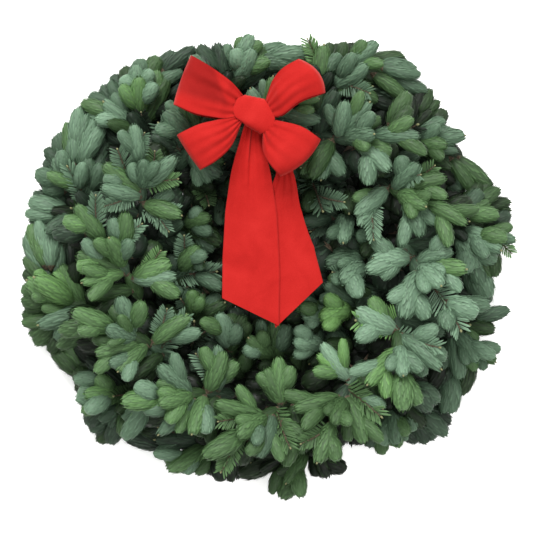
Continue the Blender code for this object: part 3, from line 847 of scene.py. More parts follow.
def comb_branchlet(needle, bed, bud, ranks, seed):
    """An open, flat branchlet: needles in two ranks like a comb's, and a short row on top."""
    chance = np.random.default_rng(seed)
    share, turn, lean, length = [], [], [], []
    for rank in range(ranks):
        for hand in (0, math.pi):
            place = (rank + chance.uniform(-COMB_WANDER, COMB_WANDER)) / ranks
            share.append(COMB_START + COMB_SPAN * place)
            turn.append(hand + chance.uniform(*COMB_RAISE) * (1 if hand == 0 else -1))
            lean.append(math.radians(COMB_LEAN - COMB_LEAN_LOSS * share[-1]
                                     + chance.uniform(-COMB_LEAN_WANDER, COMB_LEAN_WANDER)))
            length.append(COMB_LENGTH - COMB_LENGTH_LOSS * share[-1] ** 3
                          + chance.uniform(-COMB_LENGTH_WANDER, COMB_LENGTH_WANDER))
        if rank % 2 == 0:
            share.append(TOP_START + TOP_SPAN * rank / ranks)
            turn.append(math.pi / 2 + chance.uniform(-TOP_TURN, TOP_TURN))
            lean.append(math.radians(TOP_LEAN + chance.uniform(-TOP_LEAN_WANDER, TOP_LEAN_WANDER)))
            length.append(TOP_LENGTH)
    share, turn, lean, length = (np.array(row) for row in (share, turn, lean, length))
    outward = np.column_stack([np.cos(turn), np.sin(turn), np.zeros(len(turn))])
    axis = np.array([0, 0, 1.0])
    starts = outward * COMB_FOOT + axis * (share * BRANCHLET_LENGTH)[:, None]
    ahead = outward * np.sin(lean)[:, None] + axis * np.cos(lean)[:, None]
    ends = starts + ahead * length[:, None]
    upward = np.tile(np.array(COMB_KEEL), (len(turn), 1))
    widths = NEEDLE_WIDTH * chance.uniform(*COMB_WIDTHS, (len(turn), 1))
    tints = chance.uniform(-1, 1, len(turn))
    return joined([needle_copies(needle, starts, ends, upward, widths, tints),
                   bed_copy(bed, TWIG, BRANCHLET_GIRTH, twig_only=True),
                   bud_copy(bud, COMB_BUD, BRANCHLET_LENGTH * COMB_BUD_PLACE)])


# How blue, pale and thick the foliage is far from every patch, and how much that counts for
PLAIN_PATCH = np.array([0.4, 0.55, 1.0])
PLAIN_PULL = 0.05


def patch_at(x, y):
    """How blue, how pale (with painted shadow near the bow) and how thick the foliage is at a place
    on the wreath.
    """
    table = np.array(PATCHES)
    pull = np.exp(-((table[:, 0] - x) ** 2 + (table[:, 1] - y) ** 2) / table[:, 2] ** 2)
    pull = pull / (pull.sum() + PLAIN_PULL)
    return (table[:, 3:] * pull[:, None]).sum(axis=0) + (1 - pull.sum()) * PLAIN_PATCH


# How far a branchlet rolls about its own length, in degrees
ROLL_WANDER = 16


def place_branchlet(pattern, base, tip, radius, shade, family, bend, chance):
    """A copy of a branchlet, stretched from base to tip, bent a little and coloured."""
    ahead = tip - base
    length = ahead.length
    ahead = np.array(ahead.normalized())
    up = np.array([0.0, 0.0, 1.0]) - ahead * ahead[2]
    up = up / max(np.linalg.norm(up), TINY)
    roll = math.radians(chance.uniform(-ROLL_WANDER, ROLL_WANDER))
    side = np.cross(up, ahead)
    side, up = (side * math.cos(roll) + up * math.sin(roll),
                up * math.cos(roll) - side * math.sin(roll))
    unit = pattern["co"]
    girth = radius / BRANCHLET_GIRTH
    share = unit[:, 2:3] / BRANCHLET_LENGTH
    curve = bend[0] * side + bend[1] * up
    co = (np.array(base) + unit[:, 0:1] * girth * side + unit[:, 1:2] * girth * up
          + share * length * ahead + (share ** 2 - share) * length * curve)
    # Each needle's strip: the branchlet's colour level, which carries painted light and shade,
    # shifted by the needle's own tint
    level = np.clip(np.round(shade * (FAMILY - 1) + pattern["tint"] * TINT_LEVELS), 0, FAMILY - 1)
    strip = np.choose(pattern["kind"], [family * FAMILY + level, BUD_STRIP, BARK_STRIP])
    return {
        "co": co, "corners": pattern["corners"], "sizes": pattern["sizes"],
        "smooth": pattern["smooth"],
        "uv": np.column_stack([
            strip_place(strip, pattern["across"]),
            np.clip(pattern["along"], MAP_EDGE, 1 - MAP_EDGE)]),
        "bark": pattern["kind"] == 2,
    }


# How the girth of a stem swells and shrinks from point to point
STEM_KNOBS = (0.96, 1.08, 0.96)
STEM_MERGE = 0.00002


def stem_shape(line):
    """A tapered, slightly knobbly stem with closed ends."""
    deselect()
    curve = bpy.data.curves.new("stem", "CURVE")
    curve.dimensions = "3D"
    curve.bevel_depth = STEM_RADIUS
    curve.bevel_resolution = 1
    curve.use_fill_caps = True
    spline = curve.splines.new("POLY")
    spline.points.add(len(line) - 1)
    for number, (point, place) in enumerate(zip(spline.points, line)):
        point.co = (*place, 1)
        taper = 1 - (1 - STEM_TIP_SCALE) * number / (len(line) - 1)
        point.radius = taper * STEM_KNOBS[number % len(STEM_KNOBS)]
    stem = bpy.data.objects.new("stem", curve)
    bpy.context.scene.collection.objects.link(stem)
    choose(stem)
    bpy.ops.object.convert(target="MESH")
    stem = bpy.context.object
    bpy.ops.object.mode_set(mode="EDIT")
    bpy.ops.mesh.select_all(action="SELECT")
    bpy.ops.mesh.remove_doubles(threshold=STEM_MERGE)
    bpy.ops.mesh.normals_make_consistent(inside=False)
    bpy.ops.object.mode_set(mode="OBJECT")
    shape = take_shape(stem)
    points = np.array([tuple(point) for point in line])
    near = np.linalg.norm(shape["co"][:, None] - points[None], axis=2).argmin(axis=1)
    centre = points[near]
    ahead = points[np.minimum(near + 1, len(points) - 1)] - points[np.maximum(near - 1, 0)]
    ahead = ahead / np.linalg.norm(ahead, axis=1, keepdims=True)
    side = np.cross(np.array([0.0, 0.0, 1.0]), ahead)
    side = side / np.linalg.norm(side, axis=1, keepdims=True)
    spoke = shape["co"] - centre
    turn = np.arctan2((spoke * np.cross(ahead, side)).sum(axis=1), (spoke * side).sum(axis=1))
    corner = shape["corners"]
    shape["uv"] = np.column_stack([
        strip_place(BARK_STRIP, unwrapped(turn[corner], *face_starts(shape["sizes"]))),
        MAP_EDGE + (1 - 2 * MAP_EDGE) * near[corner] / (len(points) - 1)])
    shape["bark"] = np.ones(len(corner), bool)
    return shape


def mesh_piece(name, shape, materials):
    """An object made from arrays, with the needles' map and one material for each slot."""
    mesh = bpy.data.meshes.new(name)
    mesh.vertices.add(len(shape["co"]))
    mesh.vertices.foreach_set("co", shape["co"].ravel())
    mesh.loops.add(len(shape["corners"]))
    mesh.loops.foreach_set("vertex_index", shape["corners"].astype(np.int32))
    starts, _ = face_starts(shape["sizes"])
    mesh.polygons.add(len(shape["sizes"]))
    mesh.polygons.foreach_set("loop_start", starts.astype(np.int32))
    for material in materials:
        mesh.materials.append(material)
    mesh.polygons.foreach_set("material_index", shape["bark"][starts].astype(np.int32))
    mesh.polygons.foreach_set("use_smooth", shape["smooth"])
    layer = mesh.uv_layers.new(name="OFBake")
    layer.data.foreach_set("uv", shape["uv"].ravel())
    mesh.update(calc_edges=True)
    mesh.validate()
    made = bpy.data.objects.new(name, mesh)
    bpy.context.scene.collection.objects.link(made)
    return made


# ---------------------------------------------------------------- materials

def new_material(name):
    """A node material, its node tree and its shader."""
    made = bpy.data.materials.new(name)
    made.use_nodes = True
    tree = made.node_tree
    shader = tree.nodes["Principled BSDF"]
    return made, tree, shader


def node(tree, kind, inputs=None, **settings):
    """A node with its settings, and its inputs given as values or linked from sockets."""
    made = tree.nodes.new(kind)
    for key, value in settings.items():
        setattr(made, key, value)
    for key, value in (inputs or {}).items():
        if isinstance(value, bpy.types.NodeSocket):
            tree.links.new(value, made.inputs[key])
        else:
            made.inputs[key].default_value = value
    return made


def ramp(tree, factor, stops):
    """A colour ramp through stops of (position, colour)."""
    made = node(tree, "ShaderNodeValToRGB", {"Fac": factor})
    elements = made.color_ramp.elements
    while len(elements) < len(stops):
        elements.new(0.5)
    for element, (position, colour) in zip(elements, stops):
        element.position = position
        element.color = (*colour, 1)
    return made.outputs["Color"]


def maths(tree, operation, first, second=0.0, third=0.5):
    """One sum of two or three values or sockets."""
    return node(tree, "ShaderNodeMath", {0: first, 1: second, 2: third},
                operation=operation).outputs[0]


def shaded(colour, share):
    """A darker or lighter colour."""
    return tuple(share * part for part in colour)


def times(tree, first, second):
    """Two colours multiplied."""
    return node(tree, "ShaderNodeMix", {0: 1.0, 6: first, 7: second},
                data_type="RGBA", blend_type="MULTIPLY").outputs[2]


def give_grain(tree, shader, grain, roughness, height, strength, distance):
    """Roughness that follows a grain, given as the grain's lowest and highest value and the
    roughness at each, and a bump."""
    low, high, first, last = roughness
    rough = node(tree, "ShaderNodeMapRange", {"Value": grain, "From Min": low, "From Max": high,
                                              "To Min": first, "To Max": last})
    tree.links.new(rough.outputs[0], shader.inputs["Roughness"])
    bump = node(tree, "ShaderNodeBump",
                {"Height": height, "Strength": strength, "Distance": distance})
    tree.links.new(bump.outputs[0], shader.inputs["Normal"])


def new_group(name, inputs, outputs):
    """A shader node group with named inputs (name, type, default) and outputs (name, type)."""
    tree = bpy.data.node_groups.new(name, "ShaderNodeTree")
    for label, kind, default in inputs:
        socket = tree.interface.new_socket(label, in_out="INPUT", socket_type=kind)
        socket.default_value = default
    for label, kind in outputs:
        tree.interface.new_socket(label, in_out="OUTPUT", socket_type=kind)
    start = tree.nodes.new("NodeGroupInput")
    end = tree.nodes.new("NodeGroupOutput")
    return tree, start.outputs, end.inputs


def build_strip_group():
    """Splits the needles' map into which strip, across it, along it, and a grain along it."""
    tree, given, result = new_group(
        "strip_map",
        [("Grain Scale", "NodeSocketFloat", 30.0), ("Grain Stretch", "NodeSocketFloat", 0.12)],
        [("Strip", "NodeSocketFloat"), ("Across", "NodeSocketFloat"),
         ("Along", "NodeSocketFloat"), ("Grain", "NodeSocketFloat")])
    place = node(tree, "ShaderNodeUVMap", uv_map="OFBake").outputs["UV"]
    split = node(tree, "ShaderNodeSeparateXYZ", {0: place})
    scaled = maths(tree, "MULTIPLY", split.outputs["X"], STRIPS)
    strip = maths(tree, "FLOOR", scaled)
    across = maths(tree, "FRACT", scaled)
    tree.links.new(strip, result["Strip"])
    tree.links.new(across, result["Across"])
    tree.links.new(split.outputs["Y"], result["Along"])
    stretched_along = maths(tree, "MULTIPLY", split.outputs["Y"], given["Grain Stretch"])
    shifted = maths(tree, "MULTIPLY_ADD", strip, 3.7, 0.5)
    where = node(tree, "ShaderNodeCombineXYZ", {"X": across, "Y": stretched_along, "Z": shifted})
    grain = node(tree, "ShaderNodeTexNoise",
                 {"Vector": where.outputs[0], "Scale": given["Grain Scale"], "Detail": 3.0})
    tree.links.new(grain.outputs["Fac"], result["Grain"])
    return tree


def needle_material(name, strips, greens, roughness):
    """Fir needles: greens and waxy blue-greys, dark at the foot, with a keel and a pale tip."""
    made, tree, shader = new_material(name)
    out = node(tree, "ShaderNodeGroup", {"Grain Scale": 9.0, "Grain Stretch": 0.8},
               node_tree=strips).outputs
    place = maths(tree, "DIVIDE", out["Strip"], STRIPS - 1)
    half = (FAMILY - 1) / (STRIPS - 1)
    second = FAMILY / (STRIPS - 1)
    stops = [(half * share, colour) for share, colour in zip((0, 0.36, 0.7, 1), greens)]
    stops += [(second + half * share, colour) for share, colour in zip((0, 0.5, 1), NEEDLE_BLUES)]
    stops.append(((BUD_STRIP - 0.2) / (STRIPS - 1), (0.20, 0.20, 0.10)))
    base = ramp(tree, place, stops)
    lightness = ramp(tree, out["Along"], [(0.0, (0.52,) * 3), (0.30, (0.85,) * 3),
                                          (0.72, (1.0,) * 3), (0.93, (1.06,) * 3),
                                          (1.0, (1.16, 1.13, 1.0))])
    mottle = ramp(tree, out["Grain"], [(0.30, (0.88, 0.89, 0.86)), (0.70, (1.10, 1.09, 1.10))])
    off_keel = maths(tree, "ABSOLUTE", maths(tree, "SUBTRACT", out["Across"], 0.5))
    keel = ramp(tree, off_keel, [(0.02, (1.08, 1.08, 1.05)), (0.12, (1.0,) * 3),
                                 (0.42, (0.94,) * 3)])
    finished = times(tree, times(tree, times(tree, base, lightness), mottle), keel)
    tree.links.new(finished, shader.inputs["Base Color"])
    height = maths(tree, "MULTIPLY", off_keel, out["Grain"])
    give_grain(tree, shader, out["Grain"], (0.3, 0.7, roughness - 0.08, roughness + 0.10),
               height, 0.35, 0.0004)
    shader.inputs["Specular IOR Level"].default_value = 0.28
    return made


def bark_material(strips):
    """Thin fir bark: grey-brown, with fine dark cracks and paler ridges."""
    made, tree, shader = new_material("fir_bark")
    out = node(tree, "ShaderNodeGroup", {"Grain Scale": 14.0, "Grain Stretch": 3.0},
               node_tree=strips).outputs
    colour = ramp(tree, out["Grain"], [(0.25, (0.020, 0.014, 0.008)), (0.50, (0.070, 0.048, 0.028)),
                                       (0.75, (0.150, 0.110, 0.070))])
    tree.links.new(colour, shader.inputs["Base Color"])
    give_grain(tree, shader, out["Grain"], (0, 1, 0.95, 0.70), out["Grain"], 0.8, 0.0006)
    return made


def build_mottle_group():
    """Soft patches and fine specks of wear on a painted or drawn wire."""
    tree, given, result = new_group(
        "wire_wear",
        [("Patch Scale", "NodeSocketFloat", 60.0), ("Speck Scale", "NodeSocketFloat", 900.0),
         ("Wear", "NodeSocketFloat", 0.4)],
        [("Patches", "NodeSocketFloat"), ("Bare", "NodeSocketFloat"), ("Fine", "NodeSocketFloat")])
    place = node(tree, "ShaderNodeTexCoord").outputs["Object"]
    patches = node(tree, "ShaderNodeTexNoise", {"Vector": place, "Scale": given["Patch Scale"],
                                                "Detail": 4.0}).outputs["Fac"]
    fine = node(tree, "ShaderNodeTexNoise", {"Vector": place, "Scale": given["Speck Scale"],
                                             "Detail": 2.0}).outputs["Fac"]
    mixed = maths(tree, "MULTIPLY", patches, fine)
    edge = maths(tree, "MULTIPLY_ADD", given["Wear"], -0.22, 0.42)
    bare = node(tree, "ShaderNodeMapRange", {"Value": mixed, "From Min": edge,
                                             "From Max": maths(tree, "ADD", edge, 0.04)})
    tree.links.new(patches, result["Patches"])
    tree.links.new(bare.outputs[0], result["Bare"])
    tree.links.new(fine, result["Fine"])
    return tree


def wire_material(name, wear, paint, metal, amount, speck):
    """Painted wire, with specks where the bare metal shows."""
    made, tree, shader = new_material(name)
    out = node(tree, "ShaderNodeGroup", {"Wear": amount, "Speck Scale": speck},
               node_tree=wear).outputs
    painted = ramp(tree, out["Patches"], [(0.3, shaded(paint, 0.7)), (0.7, shaded(paint, 1.3))])
    colour = node(tree, "ShaderNodeMix", {0: out["Bare"], 6: painted, 7: (*metal, 1)},
                  data_type="RGBA").outputs[2]
    tree.links.new(colour, shader.inputs["Base Color"])
    tree.links.new(out["Bare"], shader.inputs["Metallic"])
    give_grain(tree, shader, out["Fine"], (0, 1, 0.30, 0.62), out["Fine"], 0.3, 0.0002)
    return made


def velvet_material():
    """Red velvet ribbon: short dense pile, brushed patches, a woven edge on both sides, and light
    and shade painted into its colour from a value at each vertex.
    """
    made, tree, shader = new_material("red_velvet")
    place = node(tree, "ShaderNodeTexCoord").outputs["Object"]
    pile = node(tree, "ShaderNodeTexNoise", {"Vector": place, "Scale": 1500.0, "Detail": 2.0,
                                             "Roughness": 0.7}).outputs["Fac"]
    brushed_tone_and_painted_light = node(tree, "ShaderNodeTexNoise", {"Vector": place, "Scale": 26.0, "Detail": 3.0,
                                                "Distortion": 0.6}).outputs["Fac"]
    sides = node(tree, "ShaderNodeUVMap", uv_map="ribbon").outputs["UV"]
    across = node(tree, "ShaderNodeSeparateXYZ", {0: sides}).outputs["X"]
    off_middle = maths(tree, "ABSOLUTE", maths(tree, "SUBTRACT", across, 0.5))
    selvedge = node(tree, "ShaderNodeMapRange", {"Value": off_middle, "From Min": 0.478,
                                                 "From Max": 0.484}).outputs[0]
    tone = maths(tree, "MULTIPLY_ADD", brushed_tone_and_painted_light, 0.5, maths(tree, "MULTIPLY", pile, 0.5))
    red = ramp(tree, tone, [(0.34, (0.30, 0.0060, 0.0045)), (0.50, (0.38, 0.0095, 0.0075)),
                            (0.68, (0.45, 0.0155, 0.0125))])
    colour = node(tree, "ShaderNodeMix", {0: maths(tree, "MULTIPLY", selvedge, 0.45), 6: red,
                                          7: (0.27, 0.009, 0.008, 1)}, data_type="RGBA").outputs[2]
    # Painted light and shade: a value at each vertex lightens the red below the plain level and
    # darkens it above
    nap = node(tree, "ShaderNodeAttribute", attribute_name="nap").outputs["Fac"]
    painted_light_factor = ramp(tree, nap, [(0.0, (1.20, 1.16, 1.16)), (NEUTRAL_PAINTED_LIGHT, (1.0,) * 3),
                               (1.0, (0.66, 0.62, 0.62))])
    tree.links.new(times(tree, colour, painted_light_factor), shader.inputs["Base Color"])
    height = maths(tree, "SUBTRACT", pile, maths(tree, "MULTIPLY", selvedge, 0.4))
    give_grain(tree, shader, tone, (0, 1, 0.95, 0.72), height, 0.22, 0.0005)
    shader.inputs["Sheen Weight"].default_value = 0.20
    shader.inputs["Sheen Roughness"].default_value = 0.4
    shader.inputs["Sheen Tint"].default_value = (1.0, 0.30, 0.26, 1)
    shader.inputs["Specular IOR Level"].default_value = 0.15
    return made


# ---------------------------------------------------------------- foliage

# Clusters that are open and comb-like (x, y, reach), and how likely an open branchlet is
# outside them and in the middle of one
COMBS = [(-0.155, 0.085, 0.042), (-0.100, 0.020, 0.030), (-0.060, 0.060, 0.030),
         (0.060, 0.050, 0.030), (-0.110, -0.070, 0.028)]
COMB_LEAST = 0.06
COMB_MOST = 0.75

# What a sprig's branchlets are, and how many needles (or ranks of them) the patterns have
KINDS = ("fingers", "shoots", "sleeves", "fills")
PLUMP_NEEDLES = 138
SMALL_NEEDLES = 70
SPARSE_NEEDLES = 30
COMB_RANKS = 22

# How light falls off below the top of a branchlet's neighbours: how far away they are counted,
# the percentile of their heights that is their top, and the depth at which little is left
NEIGHBOUR_REACH = 0.030
NEIGHBOUR_TOP = 88
SHADE_START = 0.004
SHADE_DEPTH = 0.024
SHADE_POWER = 1.2
# How light changes from one radius to another: its share at the hole, and at the rim
HOLE_LIGHT = (0.052, 0.092, 0.40)
RIM_LIGHT = (0.215, 0.245, 1.16)
# The low branchlets' share of light, how much more they get at the rim, and less to the right
FILL_LIGHT = 0.56
FILL_RIM_LIGHT = 0.34
FILL_RIM_WIDTH = 0.04
FILL_RIGHT_LOSS = 0.7

# How much each branchlet's shade, bend and girth vary
SHADE_WANDER = (-0.10, 0.08)
SIDE_BEND = (-0.14, 0.14)
RISE_BEND = (-0.30, 0.06)
SLIMNESS = (0.84, 1.06)


def slope(value, start, end):
    """0 up to the start, 1 from the end on, and a straight rise between them."""
    return min(1, max(0, (value - start) / (end - start)))


def openness(middle, middles):
    """How open to the light a branchlet is: less deep down among others, or near the hole. This is
    painted into the needles' colour as light and shade.
    """
    apart = np.hypot(middles[:, 0] - middle.x, middles[:, 1] - middle.y)
    near = middles[apart < NEIGHBOUR_REACH][:, 2]
    depth = max(0, float(np.percentile(near, NEIGHBOUR_TOP)) - middle.z - SHADE_START)
    light = math.exp(-(depth / SHADE_DEPTH) ** SHADE_POWER)
    reach = math.hypot(middle.x, middle.y)
    (hole, hole_end, darkest), (rim, rim_end, brightest) = HOLE_LIGHT, RIM_LIGHT
    return ((darkest + (1 - darkest) * slope(reach, hole, hole_end))
            * (1 + (brightest - 1) * slope(reach, rim, rim_end)) * light)


def comb_share(x, y):
    """How likely a branchlet at a place is to be an open one."""
    return COMB_LEAST + max(math.exp(-((x - cx) ** 2 + (y - cy) ** 2) / reach ** 2) * COMB_MOST
                            for cx, cy, reach in COMBS)


def build_foliage(materials, bark):
    """The 36 sprigs, each as one piece in the place of its plain solid."""
    needle = model_needle()
    bed = model_bed()
    bud = model_bud()
    plump = [plump_branchlet(needle, bed, None, PLUMP_NEEDLES, seed) for seed in (1, 2, 3)]
    plump.append(plump_branchlet(needle, bed, bud, PLUMP_NEEDLES, 9))
    small = [plump_branchlet(needle, bed, None, SMALL_NEEDLES, seed) for seed in (4, 5, 6)]
    sparse = [plump_branchlet(needle, bed, None, SPARSE_NEEDLES, seed) for seed in (10, 11)]
    open_ones = [comb_branchlet(needle, bed, bud, COMB_RANKS, seed) for seed in (7, 8)]
    sprigs = grow_sprigs()
    grow_shoots(sprigs)
    cover_stems(sprigs)
    freeze_rods(sprigs)
    choose_open_ones(sprigs)
    fill_gaps(sprigs)
    chance = random.Random(SEED + 2)
    made = []
    every = [rod for sprig in sprigs.values() for kind in KINDS for rod in sprig[kind]]
    middles = np.array([tuple(base.lerp(tip, MIDDLE)) for base, tip, _ in every])
    for name, sprig in sprigs.items():
        parts = []
        for kind in KINDS:
            for base, tip, radius in sprig[kind]:
                middle = base.lerp(tip, MIDDLE)
                blue, pale, thick = patch_at(middle.x, middle.y)
                family = 1 if chance.random() < blue else 0
                # The branchlet's colour level: how pale it is, times painted light and shade from
                # how open it lies
                shade = pale * openness(middle, middles) + chance.uniform(*SHADE_WANDER)
                patterns = plump if kind == "fingers" else small
                # The low branchlets are painted darker still as shade: less so at the rim, more to
                # the right
                if kind == "fills":
                    at_rim = slope(math.hypot(tip.x, tip.y), RIM_START, RIM_START + FILL_RIM_WIDTH)
                    shade *= FILL_LIGHT + FILL_RIM_LIGHT * at_rim - FILL_RIGHT_LOSS * max(0, tip.x)
                    patterns = small if at_rim > 0 else sparse
                pattern = chance.choice(patterns)
                if kind in ("fingers", "shoots") and (base, tip, radius) in sprig["open"]:
                    pattern = chance.choice(open_ones)
                bend = (chance.uniform(*SIDE_BEND), chance.uniform(*RISE_BEND))
                girth = radius * thick * chance.uniform(*SLIMNESS)
                parts.append(
                    place_branchlet(pattern, base, tip, girth, shade, family, bend, chance))
        parts.append(stem_shape(sprig["line"]))
        piece = mesh_piece(f"fir_{name}", joined(parts), [materials[sprig["run"]], bark])
        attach(piece, "root")
        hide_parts(name)
        made.append(piece)
    return made


# ---------------------------------------------------------------- ribbon

# The level of painted light and shade at which the velvet keeps its own colour
NEUTRAL_PAINTED_LIGHT = 0.2
SHARP_FOLD = math.radians(55)
SEAM_GAP = 0.00005


def ribbon_piece(name, place, columns, rows, surface, closed=False, nap=None):
    """A strip of ribbon: a grid laid out by place(across, along), both from 0 to 1. The last
    function, if given, paints light and shade into the velvet's colour at each vertex: at 1 it is
    painted darkest, at 0 lightest."""
    deselect()
    bpy.ops.mesh.primitive_grid_add(x_subdivisions=columns, y_subdivisions=rows, size=1)
    made = bpy.context.object
    made.name = name
    made.data.name = name
    made.data.uv_layers[0].name = "ribbon"
    # One value of painted light and shade at each vertex, for the velvet's colour
    brushed_tone_and_painted_light = made.data.attributes.new("nap", "FLOAT", "POINT")
    for vert in made.data.vertices:
        across, along = vert.co.x + 0.5, vert.co.y + 0.5
        vert.co = place(across, along)
        brushed_tone_and_painted_light.data[vert.index].value = nap(across, along) if nap else NEUTRAL_PAINTED_LIGHT
    if closed:
        bpy.ops.object.mode_set(mode="EDIT")
        bpy.ops.mesh.select_all(action="SELECT")
        bpy.ops.mesh.remove_doubles(threshold=SEAM_GAP)
        bpy.ops.mesh.normals_make_consistent(inside=False)
        bpy.ops.object.mode_set(mode="OBJECT")
    cloth = made.modifiers.new("cloth", "SOLIDIFY")
    cloth.thickness = RIBBON_THICKNESS
    cloth.offset = 0
    bpy.ops.object.modifier_apply(modifier="cloth")
    bpy.ops.object.shade_smooth_by_angle(angle=SHARP_FOLD)
    made.data.materials.append(surface)
    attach(made, "root")
    return made


def along_line(line, share):
    """The point at a share of a line of points, and the direction there."""
    place = min(max(share, 0), 1) * (len(line) - 1)
    step = min(int(place), len(line) - 2)
    return line[step].lerp(line[step + 1], place - step), (line[step + 1] - line[step]).normalized()


def line_length(line):
    """How long a line of points is."""
    return sum((b - a).length for a, b in zip(line, line[1:]))


def eased(share):
    """From 0 to 1, slow at both ends."""
    return share * share * (3 - 2 * share)


def hump(value, place, spread):
    """1 at the place, and less on both sides of it."""
    return math.exp(-((value - place) / spread) ** 2)


def edge_line(edge):
    """A smooth curve through the points of a loop's edge, in the bow's own plane."""
    return smooth_line([Vector((x, y, 0)) for x, y in edge], EDGE_STEPS)


def edge_point(line, share):
    """The point of a loop's edge at a share of its length."""
    place = float(np.interp(share, EDGE_SHARES, range(len(EDGE_SHARES)))) * EDGE_STEPS
    step = min(int(place), len(line) - 2)
    return line[step].lerp(line[step + 1], place - step)


# The soft valley along each loop's front: where across it, how deep and how wide
VALLEYS = {
    "upper_left": (0.46, 0.0062, 0.24),
    "upper_right": (0.16, 0.0018, 0.12),
    "lower_left": (0.22, 0.0014, 0.16),
    "lower_right": (0.74, 0.0022, 0.16),
}
# How far each loop's middle stands over its edges
CROWNS = {"upper_left": 0.0030, "upper_right": 0.0072, "lower_left": 0.0048, "lower_right": 0.0048}
# How far the left loops' inner edges lie over each other beside the knot (sideways, up), and
# where along the loops
LEFT_LAP = {"upper_left": (-0.0022, 0.0010), "lower_left": (0.0014, -0.0008)}
LAP_PLACE = 0.27
LAP_SPREAD = 0.16
# The pleats from the neck: how many, how they are shifted from loop to loop, how they fade
# towards the fold, and how deep they are in front and behind
PLEATS = 4.0
PLEAT_SHIFT = 0.17
PLEAT_FADE = 0.85
PLEAT_DEPTH = 0.0014
BACK_PLEAT_DEPTH = {"upper_left": 0.0044, "upper_right": 0.0056, "lower_left": 0.0060,
                    "lower_right": 0.0050}
# Where a loop is fully open, where it starts to flatten towards the fold, and by how much; how
# much of the crown its back has, and how far the whole loop is sunk
OPEN_AT = 0.5
FLATTEN_AT = 0.75
FLATTENED = 0.30
BACK_CROWN = 0.4
LOOP_SINK = 0.0006
# The low shoulder on each loop's front beside the knot: where, how wide and how high
SHOULDER = (0.38, 0.10, 0.0016)
LOOP_COLUMNS = 32
PROFILE_STEPS = 5
LENGTH_STEPS = 60
# Where the painted shade on the upper left loop's front begins: along its upper edge, how that
# runs down across the ribbon, and how soft its two borders are
PAINTED_SHADE_BEGIN = 0.56
PAINTED_SHADE_SLANT = 0.50
PAINTED_SHADE_SOFTNESS = 0.10
PAINTED_SHADE_LOWER = (0.84, 0.16)
PAINTED_SHADE_FRONT = 0.45


def upper_left_painted_shade(share, across):
    """Painted shade over the upper left loop's outer, upper part, where its colour is darkened."""
    begin = PAINTED_SHADE_BEGIN - PAINTED_SHADE_SLANT * across
    outward = slope(share, begin, begin + PAINTED_SHADE_SOFTNESS)
    lowest, border = PAINTED_SHADE_LOWER
    upward = slope(lowest - across - border * (1 - share), 0, border)
    return NEUTRAL_PAINTED_LIGHT + (1 - NEUTRAL_PAINTED_LIGHT) * eased(outward) * upward


def build_loops(surface):
    """Four loops: gathered at the neck, with soft pleats that open out to the outer fold."""
    level = Matrix.Rotation(BOW_TILT, 3, "Z")
    profile = smooth_line([Vector((share, height, 0)) for share, height in LOOP_PROFILE],
                          PROFILE_STEPS)
    for number, (name, (outer, inner, bulge)) in enumerate(LOOPS.items()):
        outers, inners = edge_line(outer), edge_line(inner)
        neck = outers[0].lerp(inners[0], 0.5)
        fold = outers[-1].lerp(inners[-1], 0.5)
        outward = (fold - neck).normalized()
        where, depth, wide = VALLEYS[name]
        lap = LEFT_LAP.get(name, (0, 0))

        def place(across, along):
            spot, _ = along_line(profile, along)
            share, height = min(1, max(0, spot.x)), spot.y
            start, end = edge_point(outers, share), edge_point(inners, share)
            offset = across - 0.5
            swell = bulge * slope(share, BULGE_START, 1)
            front = along > 0.5
            deep = PLEAT_DEPTH if front else BACK_PLEAT_DEPTH[name]
            pleat = (deep * (1 - share) ** PLEAT_FADE
                     * math.cos(math.tau * (PLEATS * across + PLEAT_SHIFT * number)))
            opened = slope(share, 0, OPEN_AT) * (1 - FLATTENED * slope(share, FLATTEN_AT, 1))
            crown = CROWNS[name] * opened * (1 - (2 * offset) ** 2)
            if front:
                lift = (pleat + crown - depth * opened * hump(across, where, wide)
                        + SHOULDER[2] * hump(share, *SHOULDER[:2]))
            else:
                lift = -pleat - BACK_CROWN * crown
            near_knot = hump(share, LAP_PLACE, LAP_SPREAD)
            middle = start.lerp(end, across) + outward * swell * (1 - 4 * offset ** 2)
            middle += Vector((0, lap[0] * across, lap[1])) * near_knot
            return BOW_CENTRE + level @ (middle + Vector((0, 0, height + lift - LOOP_SINK)))

        # Painted shade on the upper left loop's front; the other loops keep the plain level
        def nap(across, along):
            spot, _ = along_line(profile, along)
            return upper_left_painted_shade(min(1, spot.x), across) if along > PAINTED_SHADE_FRONT else NEUTRAL_PAINTED_LIGHT

        middles = [place(0.5, step / LENGTH_STEPS) for step in range(LENGTH_STEPS + 1)]
        piece = ribbon_piece(f"velvet_loop_{name}", place, LOOP_COLUMNS, len(profile) - 1, surface,
                             nap=nap if name == "upper_left" else None)
        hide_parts(f"bow_loop_{name}")
        line_length(middles)


# The wrap: how square its section is, how far its foot reaches down on the right, the small
# creases and curled edges of its cloth, and how far the cloth's middle lies inside its outside
WRAP_SQUARENESS = 3.4
WRAP_RIGHT_FOOT = 1.06
WRAP_CREASE = 0.0002
WRAP_CREASES = 4
WRAP_CURL = 0.0012
WRAP_INSET = (0.0006, 0.0008)
WRAP_COLUMNS = 32
WRAP_ROWS = 64


